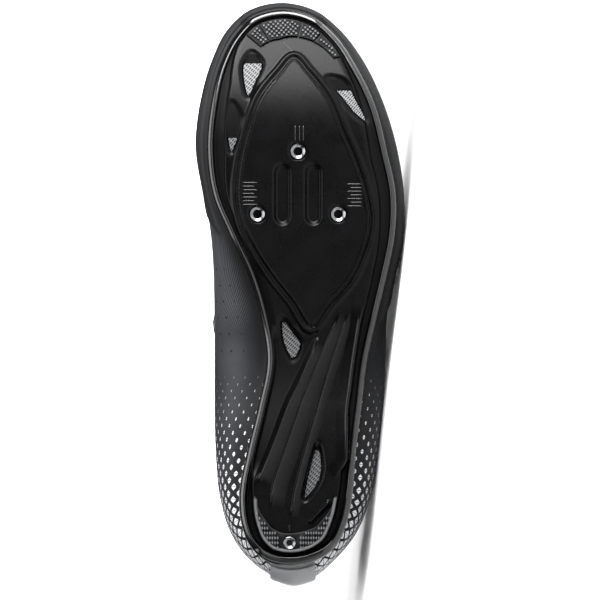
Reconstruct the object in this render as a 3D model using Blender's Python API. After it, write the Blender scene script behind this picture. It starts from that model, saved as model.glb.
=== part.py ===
"""A left road cycling shoe, built as its maker's pieces and laid on its outer side.

The shoe is drawn standing: x runs from heel to toe, +y is the outer (lateral) side and z is
height. Sole pieces start as flat blanks, whose z is the height above the plate's lower face,
and are then bent over the last's ground line. At the end everything is laid on its side.
All lengths are metres.
"""

import math

import bmesh
import bpy
import numpy as np
from mathutils import Matrix, Vector
from mathutils.bvhtree import BVHTree

# Overall sizes of the last
LENGTH = 0.2840
BALL_WIDTH = 0.1006
HEEL_HEIGHT = 0.0840
TOE_SPRING = 0.0210
ARCH_RISE = 0.0090
CLEARANCE = 0.0003

# Plate
PLATE_WALL = 0.0032
HEEL_BLOCK = 0.0040
EDGE_LIFT = 0.0035
FACE_RINGS = (0.0090, 0.0041)
RIM_BEAD = 0.0014
RIM_WIDTH = 0.0030
HEEL_RIM_WIDTH = 0.0053
TROUGH_WIDTH = 0.0062
TROUGH_DEPTH = 0.0018
TROUGH_SLOPE = 0.0008

# Relief of the plate
LEAF_STEP = 0.0015
LEAF_RIDGE_GAP = 0.0030
LEAF_RIDGE_WIDTH = 0.0022
LEAF_RIDGE_HEIGHT = 0.0010
RIB_WIDTH = 0.0048
RIB_HEIGHT = 0.0016

# Cleat fastening
BOLT_SPREAD = 0.0392
BOLT_REACH = 0.0304
BOLT_ROW_ALONG = 0.1808
INSERT_RADIUS = 0.0036
INSERT_BORE = 0.0021
INSERT_PROUD = 0.0004
SLOT_LENGTH = 0.0300
SLOT_WIDTH = 0.0088
SLOT_DEPTH = 0.0020
SLOT_OFFSET = 0.0075
SLOT_MIDDLE = 0.1904

# Rubber pads
TOE_PAD_WIDTH = 0.0098
TOE_PAD_DEPTH = 0.0024
TOE_PAD_CUT = 0.0010
HEEL_PAD_WIDTH = 0.0094
HEEL_PAD_DEPTH = 0.0036
PAD_BEVEL = 0.0006
PAD_BEVEL_SHARE = 0.3
SCREW_RADIUS = 0.0031
SOCKET_RADIUS = 0.0014
SOCKET_DEPTH = 0.0017

# Screens behind the vents
SCREEN_WALL = 0.0005
SCREEN_DEPTH = 0.0018

# Upper
UPPER_WALL = 0.0018
COLLAR_PAD = 0.0038
COLLAR_PAD_DEPTH = 0.0240
BAND_STEP = 0.0008
INSOLE_WALL = 0.0032
INSOLE_INSET = 0.0038

# Tongue, straps and heel tab
TONGUE_WALL = 0.0036
TONGUE_LAP = 0.0090
TONGUE_RISE = 0.0200
THROAT_ARCH = 0.0050
STRAP_WALL = 0.0018
STRAP_WIDTH = 0.0180
STRAP_SPACING = 0.0013
STRAP_GAP = 0.0006
TAB_WALL = 0.0010
TAB_WIDTH = 0.0210

# Sampling of the outlines
STEPS = 2
STATION_PITCH = 0.0125
PAD_PITCH = 0.0060

# Flat stretches of the ground line, as shares of LENGTH
HEEL_TAIL_SHARE = 0.090
HEEL_FLAT_SHARE = 0.200
BALL_START_SHARE = 0.600
BALL_END_SHARE = 0.765

# The plate's face turns up towards its edge from this share of its half width, and its inmost
# ring lies this share of the way to the spine, which runs between two shares of LENGTH
LIFT_START_SHARE = 0.74
CORE_SHARE = 0.60
SPINE_SHARES = (0.130, 0.870)

# The turn stops growing past this reach, and the half width is read as no less than this share
# of BALL_WIDTH
LIFT_LIMIT = 1.3
LEAST_HALF_SHARE = 0.2

# Cross section of the rim's bead: shares of the rim's width across, shares of RIM_BEAD down.
# Its outer side starts at a share of PLATE_WALL, and the trough's walls take no more than a
# share of its width
BEAD_FORM = ((0.15, 0.6), (0.5, 1.0), (0.85, 0.6))
RIM_FOOT_SHARE = 0.3
TROUGH_SLOPE_SHARE = 0.2

# Cross section of a ridge: shares of its width across, shares of its height down. Its root lies
# a share of PLATE_WALL deep, and a share of its size is left at its free ends
RIDGE_FORM = ((-0.5, 0.0), (-0.3, 0.75), (0.0, 1.0), (0.3, 0.75), (0.5, 0.0))
RIDGE_ROOT_SHARE = 0.25
RIDGE_TIP_SHARE = 0.35

# How deep the cleat field's root and the heel screw's hole reach, as a share of PLATE_WALL
ROOT_SHARE = 0.5

# The collar's edge is rounded up by this share of its wall, and the upper's faces that meet at
# more than this many degrees stay sharp
COLLAR_ROLL_SHARE = 0.2
UPPER_CREASE = 50.0

# The shoe rests on a face of its hull that looks at least this much to the outer side
LEAST_SIDEWAYS = 0.7

# Plate outline: shares of LENGTH along, shares of BALL_WIDTH across (inner side, outer side)
SOLE_LINE = (
    (0.0350, -0.034, -0.034),
    (0.0445, -0.157, 0.090),
    (0.0670, -0.228, 0.180),
    (0.1055, -0.272, 0.233),
    (0.1515, -0.285, 0.261),
    (0.2290, -0.248, 0.281),
    (0.3100, -0.194, 0.310),
    (0.3870, -0.154, 0.338),
    (0.4650, -0.187, 0.387),
    (0.5280, -0.240, 0.428),
    (0.5985, -0.328, 0.467),
    (0.6690, -0.410, 0.473),
    (0.7465, -0.439, 0.430),
    (0.8275, -0.420, 0.370),
    (0.8945, -0.376, 0.278),
    (0.9435, -0.308, 0.185),
    (0.9720, -0.233, 0.094),
    (0.9885, -0.080, -0.080),
)

# Widest line of the upper: along, across inner, across outer, and its rise over the plate on
# the inner and the outer side as shares of HEEL_HEIGHT
WIDE_LINE = (
    (0.0018, -0.030, -0.030, 0.262, 0.262),
    (0.0155, -0.132, 0.090, 0.262, 0.262),
    (0.0423, -0.239, 0.181, 0.265, 0.260),
    (0.0845, -0.325, 0.278, 0.270, 0.255),
    (0.1480, -0.381, 0.353, 0.280, 0.250),
    (0.2325, -0.403, 0.391, 0.290, 0.240),
    (0.3100, -0.408, 0.414, 0.300, 0.230),
    (0.3870, -0.408, 0.426, 0.300, 0.220),
    (0.4650, -0.409, 0.435, 0.280, 0.205),
    (0.5280, -0.411, 0.466, 0.250, 0.190),
    (0.5985, -0.423, 0.505, 0.220, 0.175),
    (0.6690, -0.454, 0.507, 0.190, 0.165),
    (0.7535, -0.490, 0.471, 0.165, 0.155),
    (0.8345, -0.465, 0.400, 0.145, 0.140),
    (0.9015, -0.412, 0.308, 0.125, 0.125),
    (0.9542, -0.338, 0.197, 0.112, 0.112),
    (0.9840, -0.249, 0.095, 0.105, 0.105),
    (1.0000, -0.085, -0.085, 0.102, 0.102),
)

# Edge of collar and throat: along, across inner, across outer, height as share of HEEL_HEIGHT
TOP_LINE = (
    (0.0300, -0.020, -0.020, 1.000),
    (0.0370, -0.090, 0.060, 0.994),
    (0.0570, -0.168, 0.138, 0.952),
    (0.0960, -0.228, 0.208, 0.875),
    (0.1480, -0.273, 0.258, 0.800),
    (0.2180, -0.303, 0.293, 0.755),
    (0.2920, -0.313, 0.313, 0.790),
    (0.3590, -0.298, 0.303, 0.900),
    (0.4190, -0.253, 0.263, 1.020),
    (0.4720, -0.199, 0.219, 1.045),
    (0.5210, -0.154, 0.174, 1.000),
    (0.5600, -0.114, 0.139, 0.950),
    (0.5880, -0.080, 0.104, 0.907),
    (0.6075, -0.050, 0.075, 0.880),
    (0.6200, -0.025, 0.050, 0.865),
    (0.6270, -0.005, 0.030, 0.856),
    (0.6305, 0.006, 0.018, 0.852),
    (0.6312, 0.012, 0.012, 0.851),
)

# Rise of the upper's wall from its widest line to its edge: share of the way in, then share of
# the height, at the heel, the waist, the ball and the toe
WALL_STATIONS = (0.00, 0.45, 0.70, 1.00)
WALL_FORM = (
    ((0.030, 0.150), (0.015, 0.150), (0.012, 0.110), (0.018, 0.190)),
    ((0.180, 0.380), (0.060, 0.330), (0.060, 0.260), (0.070, 0.370)),
    ((0.450, 0.580), (0.180, 0.530), (0.170, 0.420), (0.185, 0.520)),
    ((0.750, 0.760), (0.390, 0.720), (0.390, 0.600), (0.400, 0.650)),
    ((0.950, 0.900), (0.680, 0.880), (0.680, 0.790), (0.700, 0.815)),
)
UNDER_TURNS = (24.0, 46.0, 68.0)

# The thicker band round the forefoot lies between these levels of the wall, counted from the
# lasted edge, and starts at these shares of the outline on the inner and the outer side
BAND_LEVELS = (3, 8)
BAND_ENDS = (0.600, 0.470)
BAND_EDGE = 0.12
BAND_TOPS = (BAND_LEVELS[0], BAND_LEVELS[1] + 1)

# Rim and trough round the plate: station as share from heel to toe, rim width as share from
# RIM_WIDTH to HEEL_RIM_WIDTH, trough width share and depth share on the inner and outer side
RIM_FORM = (
    (0.00, 1.0, 0.20, 0.6, 0.20, 0.6),
    (0.06, 0.9, 0.25, 0.7, 0.25, 0.7),
    (0.15, 0.2, 0.60, 0.9, 0.60, 0.9),
    (0.24, 0.1, 0.60, 0.9, 0.60, 0.9),
    (0.29, 0.0, 0.25, 0.0, 0.60, 0.8),
    (0.55, 0.0, 0.25, 0.0, 0.70, 0.8),
    (0.63, 0.0, 0.55, 0.8, 0.90, 1.0),
    (0.70, 0.0, 1.00, 1.0, 1.00, 1.0),
    (0.80, 0.0, 0.80, 1.0, 0.50, 1.0),
    (0.84, 0.0, 0.40, 1.0, 0.25, 0.8),
    (0.87, 0.0, 0.20, 0.8, 0.20, 0.6),
    (1.00, 0.0, 0.20, 0.6, 0.20, 0.6),
)

# Leaf-shaped cleat field: along as share of LENGTH, across as shares of BALL_WIDTH
LEAF_LINE = (
    (0.4470, 0.060, 0.060),
    (0.4860, -0.020, 0.154),
    (0.5280, -0.114, 0.256),
    (0.5750, -0.202, 0.314),
    (0.6230, -0.266, 0.347),
    (0.6690, -0.288, 0.328),
    (0.7220, -0.276, 0.281),
    (0.7750, -0.241, 0.217),
    (0.8350, -0.182, 0.145),
    (0.8800, -0.085, 0.046),
    (0.9035, -0.020, -0.020),
)

# The rubber pads run between these places of the plate's outline, counted in outline points
# from the toe's tip and from the heel's end, positive on the inner side of the toe and on the
# outer side of the heel. The toe pad is parted at the places of its cuts. Each pad reaches
# towards a middle point, given as along and across shares, and the screw has a place too.
# The toe pad's width is given by pairs: share of its span, share of its greatest width.
TOE_PAD_SPAN = (-5.2, 3.3)
TOE_PAD_CUTS = (-3.0, -1.3, 1.7)
TOE_PAD_MIDDLE = (0.885, -0.045)
TOE_PAD_SWELL = ((0.0, 0.30), (0.25, 0.52), (0.46, 0.74), (0.68, 1.00), (0.85, 0.98), (1.0, 0.90))
CUT_FLOOR_SHARE = 0.35
HEEL_PAD_SPAN = (-8.1, 8.0)
HEEL_PAD_MIDDLE = (0.139, -0.015)
SCREW_PLACE = -0.15
PAD_TIP_SHARE = 0.12
HEEL_PAD_TAPER = 0.90

# Long ribs of the waist: along and across shares of their crest lines
RIB_LINES = (
    ((0.4183, 0.096), (0.3859, 0.053), (0.3211, -0.034), (0.2475, -0.112), (0.1760, -0.194)),
    ((0.4680, 0.208), (0.4183, 0.145), (0.3423, 0.049), (0.2600, -0.024), (0.1690, -0.090)),
    ((0.4715, 0.250), (0.4296, 0.208), (0.3810, 0.162), (0.3250, 0.112), (0.2746, 0.085)),
    ((0.4835, 0.316), (0.4200, 0.284), (0.3423, 0.253), (0.2600, 0.236), (0.2000, 0.200)),
)

# Vents: along and across shares of each outline
VENT_LINES = (
    ((0.9130, -0.225), (0.8965, -0.174), (0.8627, -0.205), (0.8384, -0.240),
     (0.8662, -0.262), (0.8950, -0.262)),
    ((0.8694, 0.143), (0.8641, 0.222), (0.8324, 0.279), (0.7958, 0.323),
     (0.8028, 0.294), (0.8380, 0.209)),
    ((0.8250, -0.318), (0.8063, -0.282), (0.7746, -0.284), (0.7430, -0.322),
     (0.7711, -0.340), (0.8028, -0.340)),
    ((0.4577, -0.073), (0.4345, -0.024), (0.4151, 0.014), (0.3894, -0.027),
     (0.4046, -0.055), (0.4300, -0.076)),
    ((0.2426, 0.091), (0.2085, 0.115), (0.1810, 0.101), (0.1504, 0.032),
     (0.1912, 0.049), (0.2289, 0.078)),
)

# The collar's padding fades out between these shares of the outline
PAD_FADE_SHARES = (0.34, 0.42)

# The tongue starts at this share of the outline. Its standing end: share of its rise, then how
# far each side draws in as a share of the throat's width there.
TONGUE_START_SHARE = 0.45
TONGUE_STOP = 2
TONGUE_END = ((0.30, 0.13), (0.80, 0.09), (1.00, 0.17))
TONGUE_LEAN = (-0.35, 0.0, 0.94)
ARCH_LEAN = (0.30, 0.0, 0.95)

# The rearmost strap's middle as a share of LENGTH, and each strap's turn about its axis, whose
# place is given as shares of BALL_WIDTH and HEEL_HEIGHT
STRAP_FIRST_SHARE = 0.4520
STRAP_COUNT = 3
STRAP_ARC = (-62.0, 46.0)
STRAP_SPANS = 14
STRAP_RAYS = 4
STRAP_ROWS = 4
STRAP_AXIS = (0.040, 0.450)

# The heel tab's two sides as shares of TAB_WIDTH, and its rows and columns. Its lowest row lies
# between the upper's foot and the first level above it, at a share of the way.
TAB_SIDES = (-0.62, 0.38)
TAB_LOW_SHARE = 0.40
TAB_COLUMNS = 7
TAB_REACH = 6


def spline(knots, steps, closed=False):
    """Points on a smooth curve through the knots, with the same number of steps in each span."""
    knots = np.asarray(knots, dtype=float)
    count = len(knots)
    before = np.roll(knots, 1, axis=0)
    after = np.roll(knots, -1, axis=0)
    back = np.linalg.norm(knots - before, axis=1)[:, None]
    ahead = np.linalg.norm(after - knots, axis=1)[:, None]
    slopes = ((knots - before) / back * ahead + (after - knots) / ahead * back) / (back + ahead)
    if not closed:
        slopes[0] = (knots[1] - knots[0]) / ahead[0]
        slopes[-1] = (knots[-1] - knots[-2]) / back[-1]
    spans = count if closed else count - 1
    found = []
    for i in range(spans):
        j = (i + 1) % count
        span = ahead[i]
        for t in np.arange(steps) / steps:
            found.append(
                (1 + 2 * t) * (1 - t) ** 2 * knots[i] + t * (1 - t) ** 2 * span * slopes[i]
                + t * t * (3 - 2 * t) * knots[j] + t * t * (t - 1) * span * slopes[j]
            )
    if not closed:
        found.append(knots[-1])
    return np.array(found)


def loop_of(inner, outer, steps):
    """A closed line from the heel up the outer side to the toe and back down the inner side."""
    knots = list(outer) + list(inner[-2:0:-1])
    return spline(knots, steps, closed=True)


def plan_rows(table, columns):
    """Splits a table into real points of its inner and its outer side."""
    inner = [np.array([row[0] * LENGTH, row[1] * BALL_WIDTH, *columns(row, 0)]) for row in table]
    outer = [np.array([row[0] * LENGTH, row[2] * BALL_WIDTH, *columns(row, 1)]) for row in table]
    return inner, outer


def sole_ring():
    """The plate's outline, in plan."""
    return loop_of(*plan_rows(SOLE_LINE, lambda row, side: ()), STEPS)


SOLE_RING = sole_ring()
HALF = len(SOLE_RING) // 2


def stations():
    """Each outline point's place between heel, 0, and toe, 1."""
    index = np.arange(len(SOLE_RING))
    return np.minimum(index, len(SOLE_RING) - index) / HALF


def is_inner():
    """Which outline points lie on the inner side."""
    return np.arange(len(SOLE_RING)) > HALF


def inset(ring, distance):
    """A plan outline moved inwards by a distance, which may differ from point to point."""
    tangent = np.roll(ring, -1, axis=0) - np.roll(ring, 1, axis=0)
    inward = np.stack([tangent[:, 1], -tangent[:, 0]], axis=1)
    inward /= np.linalg.norm(inward, axis=1)[:, None]
    return ring + inward * np.reshape(distance, (-1, 1))


def core_ring():
    """The plate's outline drawn in towards its spine."""
    count = len(SOLE_RING)
    middles = (SOLE_RING + SOLE_RING[-np.arange(count) % count]) / 2
    along = np.clip(middles[:, 0], SPINE_SHARES[0] * LENGTH, SPINE_SHARES[1] * LENGTH)
    line = middles[:HALF + 1]
    spine = np.column_stack([along, np.interp(along, line[:, 0], line[:, 1])])
    return SOLE_RING + (spine - SOLE_RING) * CORE_SHARE


def ground_line(along):
    """Height of the plate's lower face on its midline."""
    share = np.asarray(along) / LENGTH
    toe = np.clip((share - BALL_END_SHARE) / (1 - BALL_END_SHARE), 0, None)
    heel = np.clip((HEEL_TAIL_SHARE - share) / HEEL_TAIL_SHARE, 0, None)
    waist = (share - HEEL_FLAT_SHARE) / (BALL_START_SHARE - HEEL_FLAT_SHARE)
    waist = np.clip(waist, 0, 1)
    heel_seat = HEEL_PAD_DEPTH + CLEARANCE
    seat = heel_seat + (LEAF_STEP - heel_seat) * waist
    arch = ARCH_RISE * np.sin(math.pi * waist) ** 2
    return seat + arch + TOE_SPRING * toe**1.6 + EDGE_LIFT * heel**2


def edge_lift(along, across):
    """How far the plate's face turns up towards its rim."""
    outer = SOLE_RING[: HALF + 1]
    inner = np.vstack([SOLE_RING[HALF:], SOLE_RING[:1]])[::-1]
    high = np.interp(along, outer[:, 0], outer[:, 1])
    low = np.interp(along, inner[:, 0], inner[:, 1])
    half = np.maximum((high - low) / 2, LEAST_HALF_SHARE * BALL_WIDTH)
    reach = np.abs(across - (high + low) / 2) / half
    turned = (reach - LIFT_START_SHARE) / (1 - LIFT_START_SHARE)
    return EDGE_LIFT * np.clip(turned, 0, LIFT_LIMIT) ** 2


def plate_height(along, across, blank_height):
    """Height of a point of a flat blank once it is bent over the last."""
    share = np.asarray(along) / LENGTH
    heel = (BALL_START_SHARE - share) / (BALL_START_SHARE - HEEL_FLAT_SHARE)
    heel = np.clip(heel, 0, 1)
    block = HEEL_BLOCK * heel * heel * (3 - 2 * heel)
    upper_face = np.clip(np.asarray(blank_height) / PLATE_WALL, 0, 1)
    return ground_line(along) + edge_lift(along, across) + blank_height + block * upper_face


def make_material(name, colour, roughness, metallic=0.0, coat=0.0):
    """A plain Principled material."""
    material = bpy.data.materials.new(name)
    material.use_nodes = True
    shader = material.node_tree.nodes["Principled BSDF"]
    shader.inputs["Base Color"].default_value = (*colour, 1.0)
    shader.inputs["Roughness"].default_value = roughness
    shader.inputs["Metallic"].default_value = metallic
    shader.inputs["Coat Weight"].default_value = coat
    material.diffuse_color = (*colour, 1.0)
    return material


def add_object(name, bm, material=None):
    """Puts a bmesh into the scene as a closed object with its faces pointing out."""
    bmesh.ops.recalc_face_normals(bm, faces=bm.faces[:])
    mesh = bpy.data.meshes.new(name)
    bm.to_mesh(mesh)
    bm.free()
    obj = bpy.data.objects.new(name, mesh)
    bpy.context.scene.collection.objects.link(obj)
    if material:
        mesh.materials.append(material)
    return obj


def finish_smooth(obj, angle=35.0):
    """Shades an object smooth, with its edges over the angle left sharp."""
    obj.data.shade_smooth()
    obj.data.set_sharp_from_angle(angle=math.radians(angle))


def ring_solid(rings):
    """A closed bmesh through rings of equal length, with its first and last ring capped."""
    bm = bmesh.new()
    rows = [[bm.verts.new(point) for point in ring] for ring in rings]
    for row, above in zip(rows, rows[1:]):
        for i, vert in enumerate(row):
            j = (i + 1) % len(row)
            bm.faces.new((vert, row[j], above[j], above[i]))
    bm.faces.new(rows[0][::-1])
    bm.faces.new(rows[-1])
    return bm


def prism(outline, low, high):
    """A flat-ended solid over a plan outline."""
    bm = bmesh.new()
    face = bm.faces.new([bm.verts.new((x, y, low)) for x, y in outline])
    faces = bmesh.ops.extrude_face_region(bm, geom=[face])["geom"]
    top = [item for item in faces if isinstance(item, bmesh.types.BMVert)]
    bmesh.ops.translate(bm, verts=top, vec=(0, 0, high - low))
    return bm


def round_ended(length, width, middle, turns=6):
    """A slot outline with round ends, lying along x."""
    radius = width / 2
    reach = length / 2 - radius
    points = []
    for end in (1, -1):
        for i in range(turns + 1):
            angle = math.radians(-90 + 180 * i / turns)
            points.append((
                middle[0] + end * (reach + radius * math.cos(angle)),
                middle[1] + end * radius * math.sin(angle),
            ))
    return points


def swept_ridge(path, width, height, closed=False):
    """A rounded ridge under a plan path, rooted inside the plate, thinning at its free ends."""
    path = np.asarray(path, dtype=float)
    if closed:
        tangent = np.roll(path, -1, axis=0) - np.roll(path, 1, axis=0)
        swell = np.ones(len(path))
    else:
        tangent = np.gradient(path, axis=0)
        swell = np.sin(math.pi * np.linspace(0, 1, len(path))) ** 0.5
        swell = RIDGE_TIP_SHARE + (1 - RIDGE_TIP_SHARE) * swell
    side = np.stack([-tangent[:, 1], tangent[:, 0]], axis=1)
    side /= np.linalg.norm(side, axis=1)[:, None]
    root = PLATE_WALL * RIDGE_ROOT_SHARE
    form = [(reach, -share * height) for reach, share in RIDGE_FORM]
    section = [(form[0][0], root), *form, (form[-1][0], root)]
    rows = []
    for point, across, share in zip(path, side, swell):
        rows.append([
            (*(point + across * width * reach * share), level * share if level < 0 else level)
            for reach, level in section
        ])
    if not closed:
        return ring_solid(rows)
    bm = bmesh.new()
    verts = [[bm.verts.new(point) for point in row] for row in rows]
    for i, row in enumerate(verts):
        following = verts[(i + 1) % len(verts)]
        for j in range(len(row)):
            k = (j + 1) % len(row)
            bm.faces.new((row[j], row[k], following[k], following[j]))
    return bm


def combine(blank, helpers, operation):
    """Joins or cuts a blank with helper solids, one after another, and deletes the helpers."""
    for helper in helpers:
        modifier = blank.modifiers.new(operation.title(), "BOOLEAN")
        modifier.object = helper
        modifier.operation = operation
        modifier.solver = "EXACT"
    bpy.context.view_layer.update()
    depsgraph = bpy.context.evaluated_depsgraph_get()
    result = bpy.data.meshes.new_from_object(blank.evaluated_get(depsgraph))
    blank.modifiers.clear()
    blank.data = result
    for helper in helpers:
        bpy.data.objects.remove(helper)


def cut_long_faces(bm, pitch):
    """Cuts every face that is longer than the pitch at even stations along the shoe."""
    alongs = [vert.co.x for vert in bm.verts]
    low, high = min(alongs), max(alongs)
    count = int((high - low) / pitch)
    for i in range(1, count + 1):
        place = low + (high - low) * i / (count + 1)
        geometry = set()
        for face in bm.faces:
            reach = [vert.co.x for vert in face.verts]
            if max(reach) - min(reach) > pitch and min(reach) < place < max(reach):
                geometry.update((face, *face.edges, *face.verts))
        if geometry:
            bmesh.ops.bisect_plane(bm, geom=list(geometry), plane_co=(place, 0, 0),
                                   plane_no=(1, 0, 0), dist=1e-6)


def bend(obj, pitch=STATION_PITCH):
    """Bends a flat blank over the last."""
    bm = bmesh.new()
    bm.from_mesh(obj.data)
    cut_long_faces(bm, pitch)
    bmesh.ops.triangulate(bm, faces=[face for face in bm.faces if len(face.verts) > 4])
    for vert in bm.verts:
        x, y, z = vert.co
        vert.co.z = float(plate_height(x, y, z))
    bm.to_mesh(obj.data)
    bm.free()


def rim_values():
    """Rim width, trough width and trough depth at each outline point."""
    table = np.array(RIM_FORM)
    place = stations()
    inner = is_inner()
    rim = RIM_WIDTH + (HEEL_RIM_WIDTH - RIM_WIDTH) * np.interp(place, table[:, 0], table[:, 1])
    widths = [np.interp(place, table[:, 0], table[:, column]) for column in (2, 4)]
    depths = [np.interp(place, table[:, 0], table[:, column]) for column in (3, 5)]
    width = TROUGH_WIDTH * np.where(inner, widths[0], widths[1])
    depth = TROUGH_DEPTH * np.where(inner, depths[0], depths[1])
    return rim, width, depth


def plate_blank():
    """The flat plate with its bead rim and the trough inside the rim."""
    rim, width, depth = rim_values()
    wall = np.minimum(TROUGH_SLOPE_SHARE * width, TROUGH_SLOPE)
    core = core_ring()
    profile = (
        *((distance, PLATE_WALL) for distance in FACE_RINGS),
        (0.0, PLATE_WALL),
        (0.0, RIM_FOOT_SHARE * PLATE_WALL),
        *((across * rim, -down * RIM_BEAD) for across, down in BEAD_FORM),
        (rim, 0.0),
        (rim + wall, depth),
        (rim + width - wall, depth),
        (rim + width, 0.0),
    )
    rings = [np.column_stack([core, np.full(len(core), PLATE_WALL)])]
    for distance, level in profile:
        ring = inset(SOLE_RING, np.broadcast_to(distance, len(SOLE_RING)))
        levels = np.broadcast_to(level, len(SOLE_RING))
        rings.append(np.column_stack([ring, levels]))
    rings.append(np.column_stack([core, np.zeros(len(core))]))
    return ring_solid(rings)


def leaf_outline(steps):
    """The cleat field's outline, with its two narrow rounded ends."""
    inner = [(row[0] * LENGTH, row[1] * BALL_WIDTH) for row in LEAF_LINE]
    outer = [(row[0] * LENGTH, row[2] * BALL_WIDTH) for row in LEAF_LINE]
    return spline(outer + inner[-2:0:-1], steps, closed=True)


def bolt_places():
    """Names and plan places of the three cleat bolts."""
    return {
        "front": (BOLT_ROW_ALONG + BOLT_REACH, 0.0),
        "medial": (BOLT_ROW_ALONG, -BOLT_SPREAD / 2),
        "lateral": (BOLT_ROW_ALONG, BOLT_SPREAD / 2),
    }


def circle(centre, radius, segments=20):
    """A round plan outline."""
    turns = [2 * math.pi * i / segments for i in range(segments)]
    return [(centre[0] + radius * math.cos(a), centre[1] + radius * math.sin(a)) for a in turns]


def real_outline(line, steps=3):
    """A closed smooth outline through a row of shares."""
    return spline([(x * LENGTH, y * BALL_WIDTH) for x, y in line], steps, closed=True)


def make_outsole(material):
    """The composite plate: blank, raised cleat field, ridges and ribs, then vents and holes."""
    outsole = add_object("outsole", plate_blank(), material)
    raised = [add_object("leaf", prism(leaf_outline(3), -LEAF_STEP, PLATE_WALL * ROOT_SHARE))]
    ridge_path = inset(leaf_outline(2), -LEAF_RIDGE_GAP)
    ridge = swept_ridge(ridge_path, LEAF_RIDGE_WIDTH, LEAF_RIDGE_HEIGHT, closed=True)
    raised.append(add_object("leaf_ridge", ridge))
    for i, line in enumerate(RIB_LINES):
        path = spline([(x * LENGTH, y * BALL_WIDTH) for x, y in line], 3)
        raised.append(add_object(f"rib_{i}", swept_ridge(path, RIB_WIDTH, RIB_HEIGHT)))
    combine(outsole, raised, "UNION")
    deep = PLATE_WALL * 2
    cuts = [add_object(f"vent_{i}", prism(real_outline(line), -deep, deep))
            for i, line in enumerate(VENT_LINES)]
    for side in (-1, 1):
        outline = round_ended(SLOT_LENGTH, SLOT_WIDTH, (SLOT_MIDDLE, side * SLOT_OFFSET))
        cuts.append(add_object(f"slot_{side}", prism(outline, -deep, SLOT_DEPTH - LEAF_STEP)))
    for name, place in bolt_places().items():
        hole = prism(circle(place, INSERT_RADIUS + CLEARANCE), -deep, deep)
        cuts.append(add_object(f"hole_{name}", hole))
    screw_hole = circle(screw_place(), SCREW_RADIUS + CLEARANCE)
    cuts.append(add_object("hole_screw", prism(screw_hole, -deep, PLATE_WALL * ROOT_SHARE)))
    combine(outsole, cuts, "DIFFERENCE")
    bend(outsole)
    finish_smooth(outsole)
    return outsole


def edge_point(place, distance):
    """A plan point at a place between the outline's points, moved inwards by a distance."""
    low = math.floor(place)
    before, start, end, after = (SOLE_RING[(low + i) % len(SOLE_RING)] for i in (-1, 0, 1, 2))
    tangent = after - before
    inward = np.array([tangent[1], -tangent[0]]) / np.linalg.norm(tangent)
    return start + (end - start) * (place - low) + inward * distance


def groove_end(places):
    """How far the trough's inner edge and a clearance lie inside places of the outline."""
    rim, trough, _ = rim_values()
    index = np.arange(len(SOLE_RING))
    return np.interp(places, index, rim + trough + CLEARANCE, period=len(SOLE_RING))


def pad_places(span):
    """The outline places of a pad's sections, and each one's share of the span."""
    count = int((span[1] - span[0]) * STEPS) + 1
    return np.linspace(*span, count), np.linspace(0, 1, count)


def pad_solid(places, reach, middle, depth):
    """A crescent along the trough's inner edge, reaching towards a middle in plan shares.

    Its lower edges are rounded off.
    """
    outer = np.array([edge_point(*pair) for pair in zip(places, groove_end(places))])
    way = np.array([middle[0] * LENGTH, middle[1] * BALL_WIDTH]) - outer
    way /= np.linalg.norm(way, axis=1)[:, None]
    bevel = np.minimum(PAD_BEVEL, PAD_BEVEL_SHARE * reach)
    sections = []
    for start, across, wide, cut in zip(outer, way, reach, bevel):
        form = ((0.0, -CLEARANCE), (0.0, cut - depth), (cut, -depth), (wide / 2, -depth),
                (wide - cut, -depth), (wide, cut - depth), (wide, -CLEARANCE))
        sections.append([(*(start + across * distance), level) for distance, level in form])
    return ring_solid(sections)


def screw_place():
    """Where the heel pad's screw sits, midway across the pad."""
    return edge_point(SCREW_PLACE, float(groove_end(SCREW_PLACE)) + HEEL_PAD_WIDTH / 2)


def make_toe_pad(material):
    """The rubber crescent under the toe, parted into four blocks by narrow cuts."""
    places, shares = pad_places(TOE_PAD_SPAN)
    reach = TOE_PAD_WIDTH * np.interp(shares, *zip(*TOE_PAD_SWELL))
    block = pad_solid(HALF + places, reach, TOE_PAD_MIDDLE, TOE_PAD_DEPTH)
    pad = add_object("toe_pad", block, material)
    cuts = []
    for i, place in enumerate(TOE_PAD_CUTS):
        start = edge_point(HALF + place, 0.0)
        end = edge_point(HALF + place, RIM_WIDTH + TROUGH_WIDTH + 2 * TOE_PAD_WIDTH)
        across = np.array([end[1] - start[1], start[0] - end[0]])
        across *= TOE_PAD_CUT / 2 / np.linalg.norm(across)
        outline = [start - across, start + across, end + across, end - across]
        cut = prism(outline, -2 * TOE_PAD_DEPTH, -CUT_FLOOR_SHARE * TOE_PAD_DEPTH)
        cuts.append(add_object(f"cut_{i}", cut))
    combine(pad, cuts, "DIFFERENCE")
    bend(pad, PAD_PITCH)
    finish_smooth(pad)
    return pad


def make_heel_pad(material):
    """The rubber crescent under the heel, with the pocket for its screw."""
    places, shares = pad_places(HEEL_PAD_SPAN)
    swell = np.maximum(np.sin(math.pi * shares) ** HEEL_PAD_TAPER, PAD_TIP_SHARE)
    block = pad_solid(places, HEEL_PAD_WIDTH * swell, HEEL_PAD_MIDDLE, HEEL_PAD_DEPTH)
    pad = add_object("heel_pad", block, material)
    outline = circle(screw_place(), SCREW_RADIUS + CLEARANCE)
    pocket = prism(outline, -2 * HEEL_PAD_DEPTH, HEEL_PAD_DEPTH)
    combine(pad, [add_object("pocket", pocket)], "DIFFERENCE")
    bend(pad, PAD_PITCH)
    finish_smooth(pad)
    return pad


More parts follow.
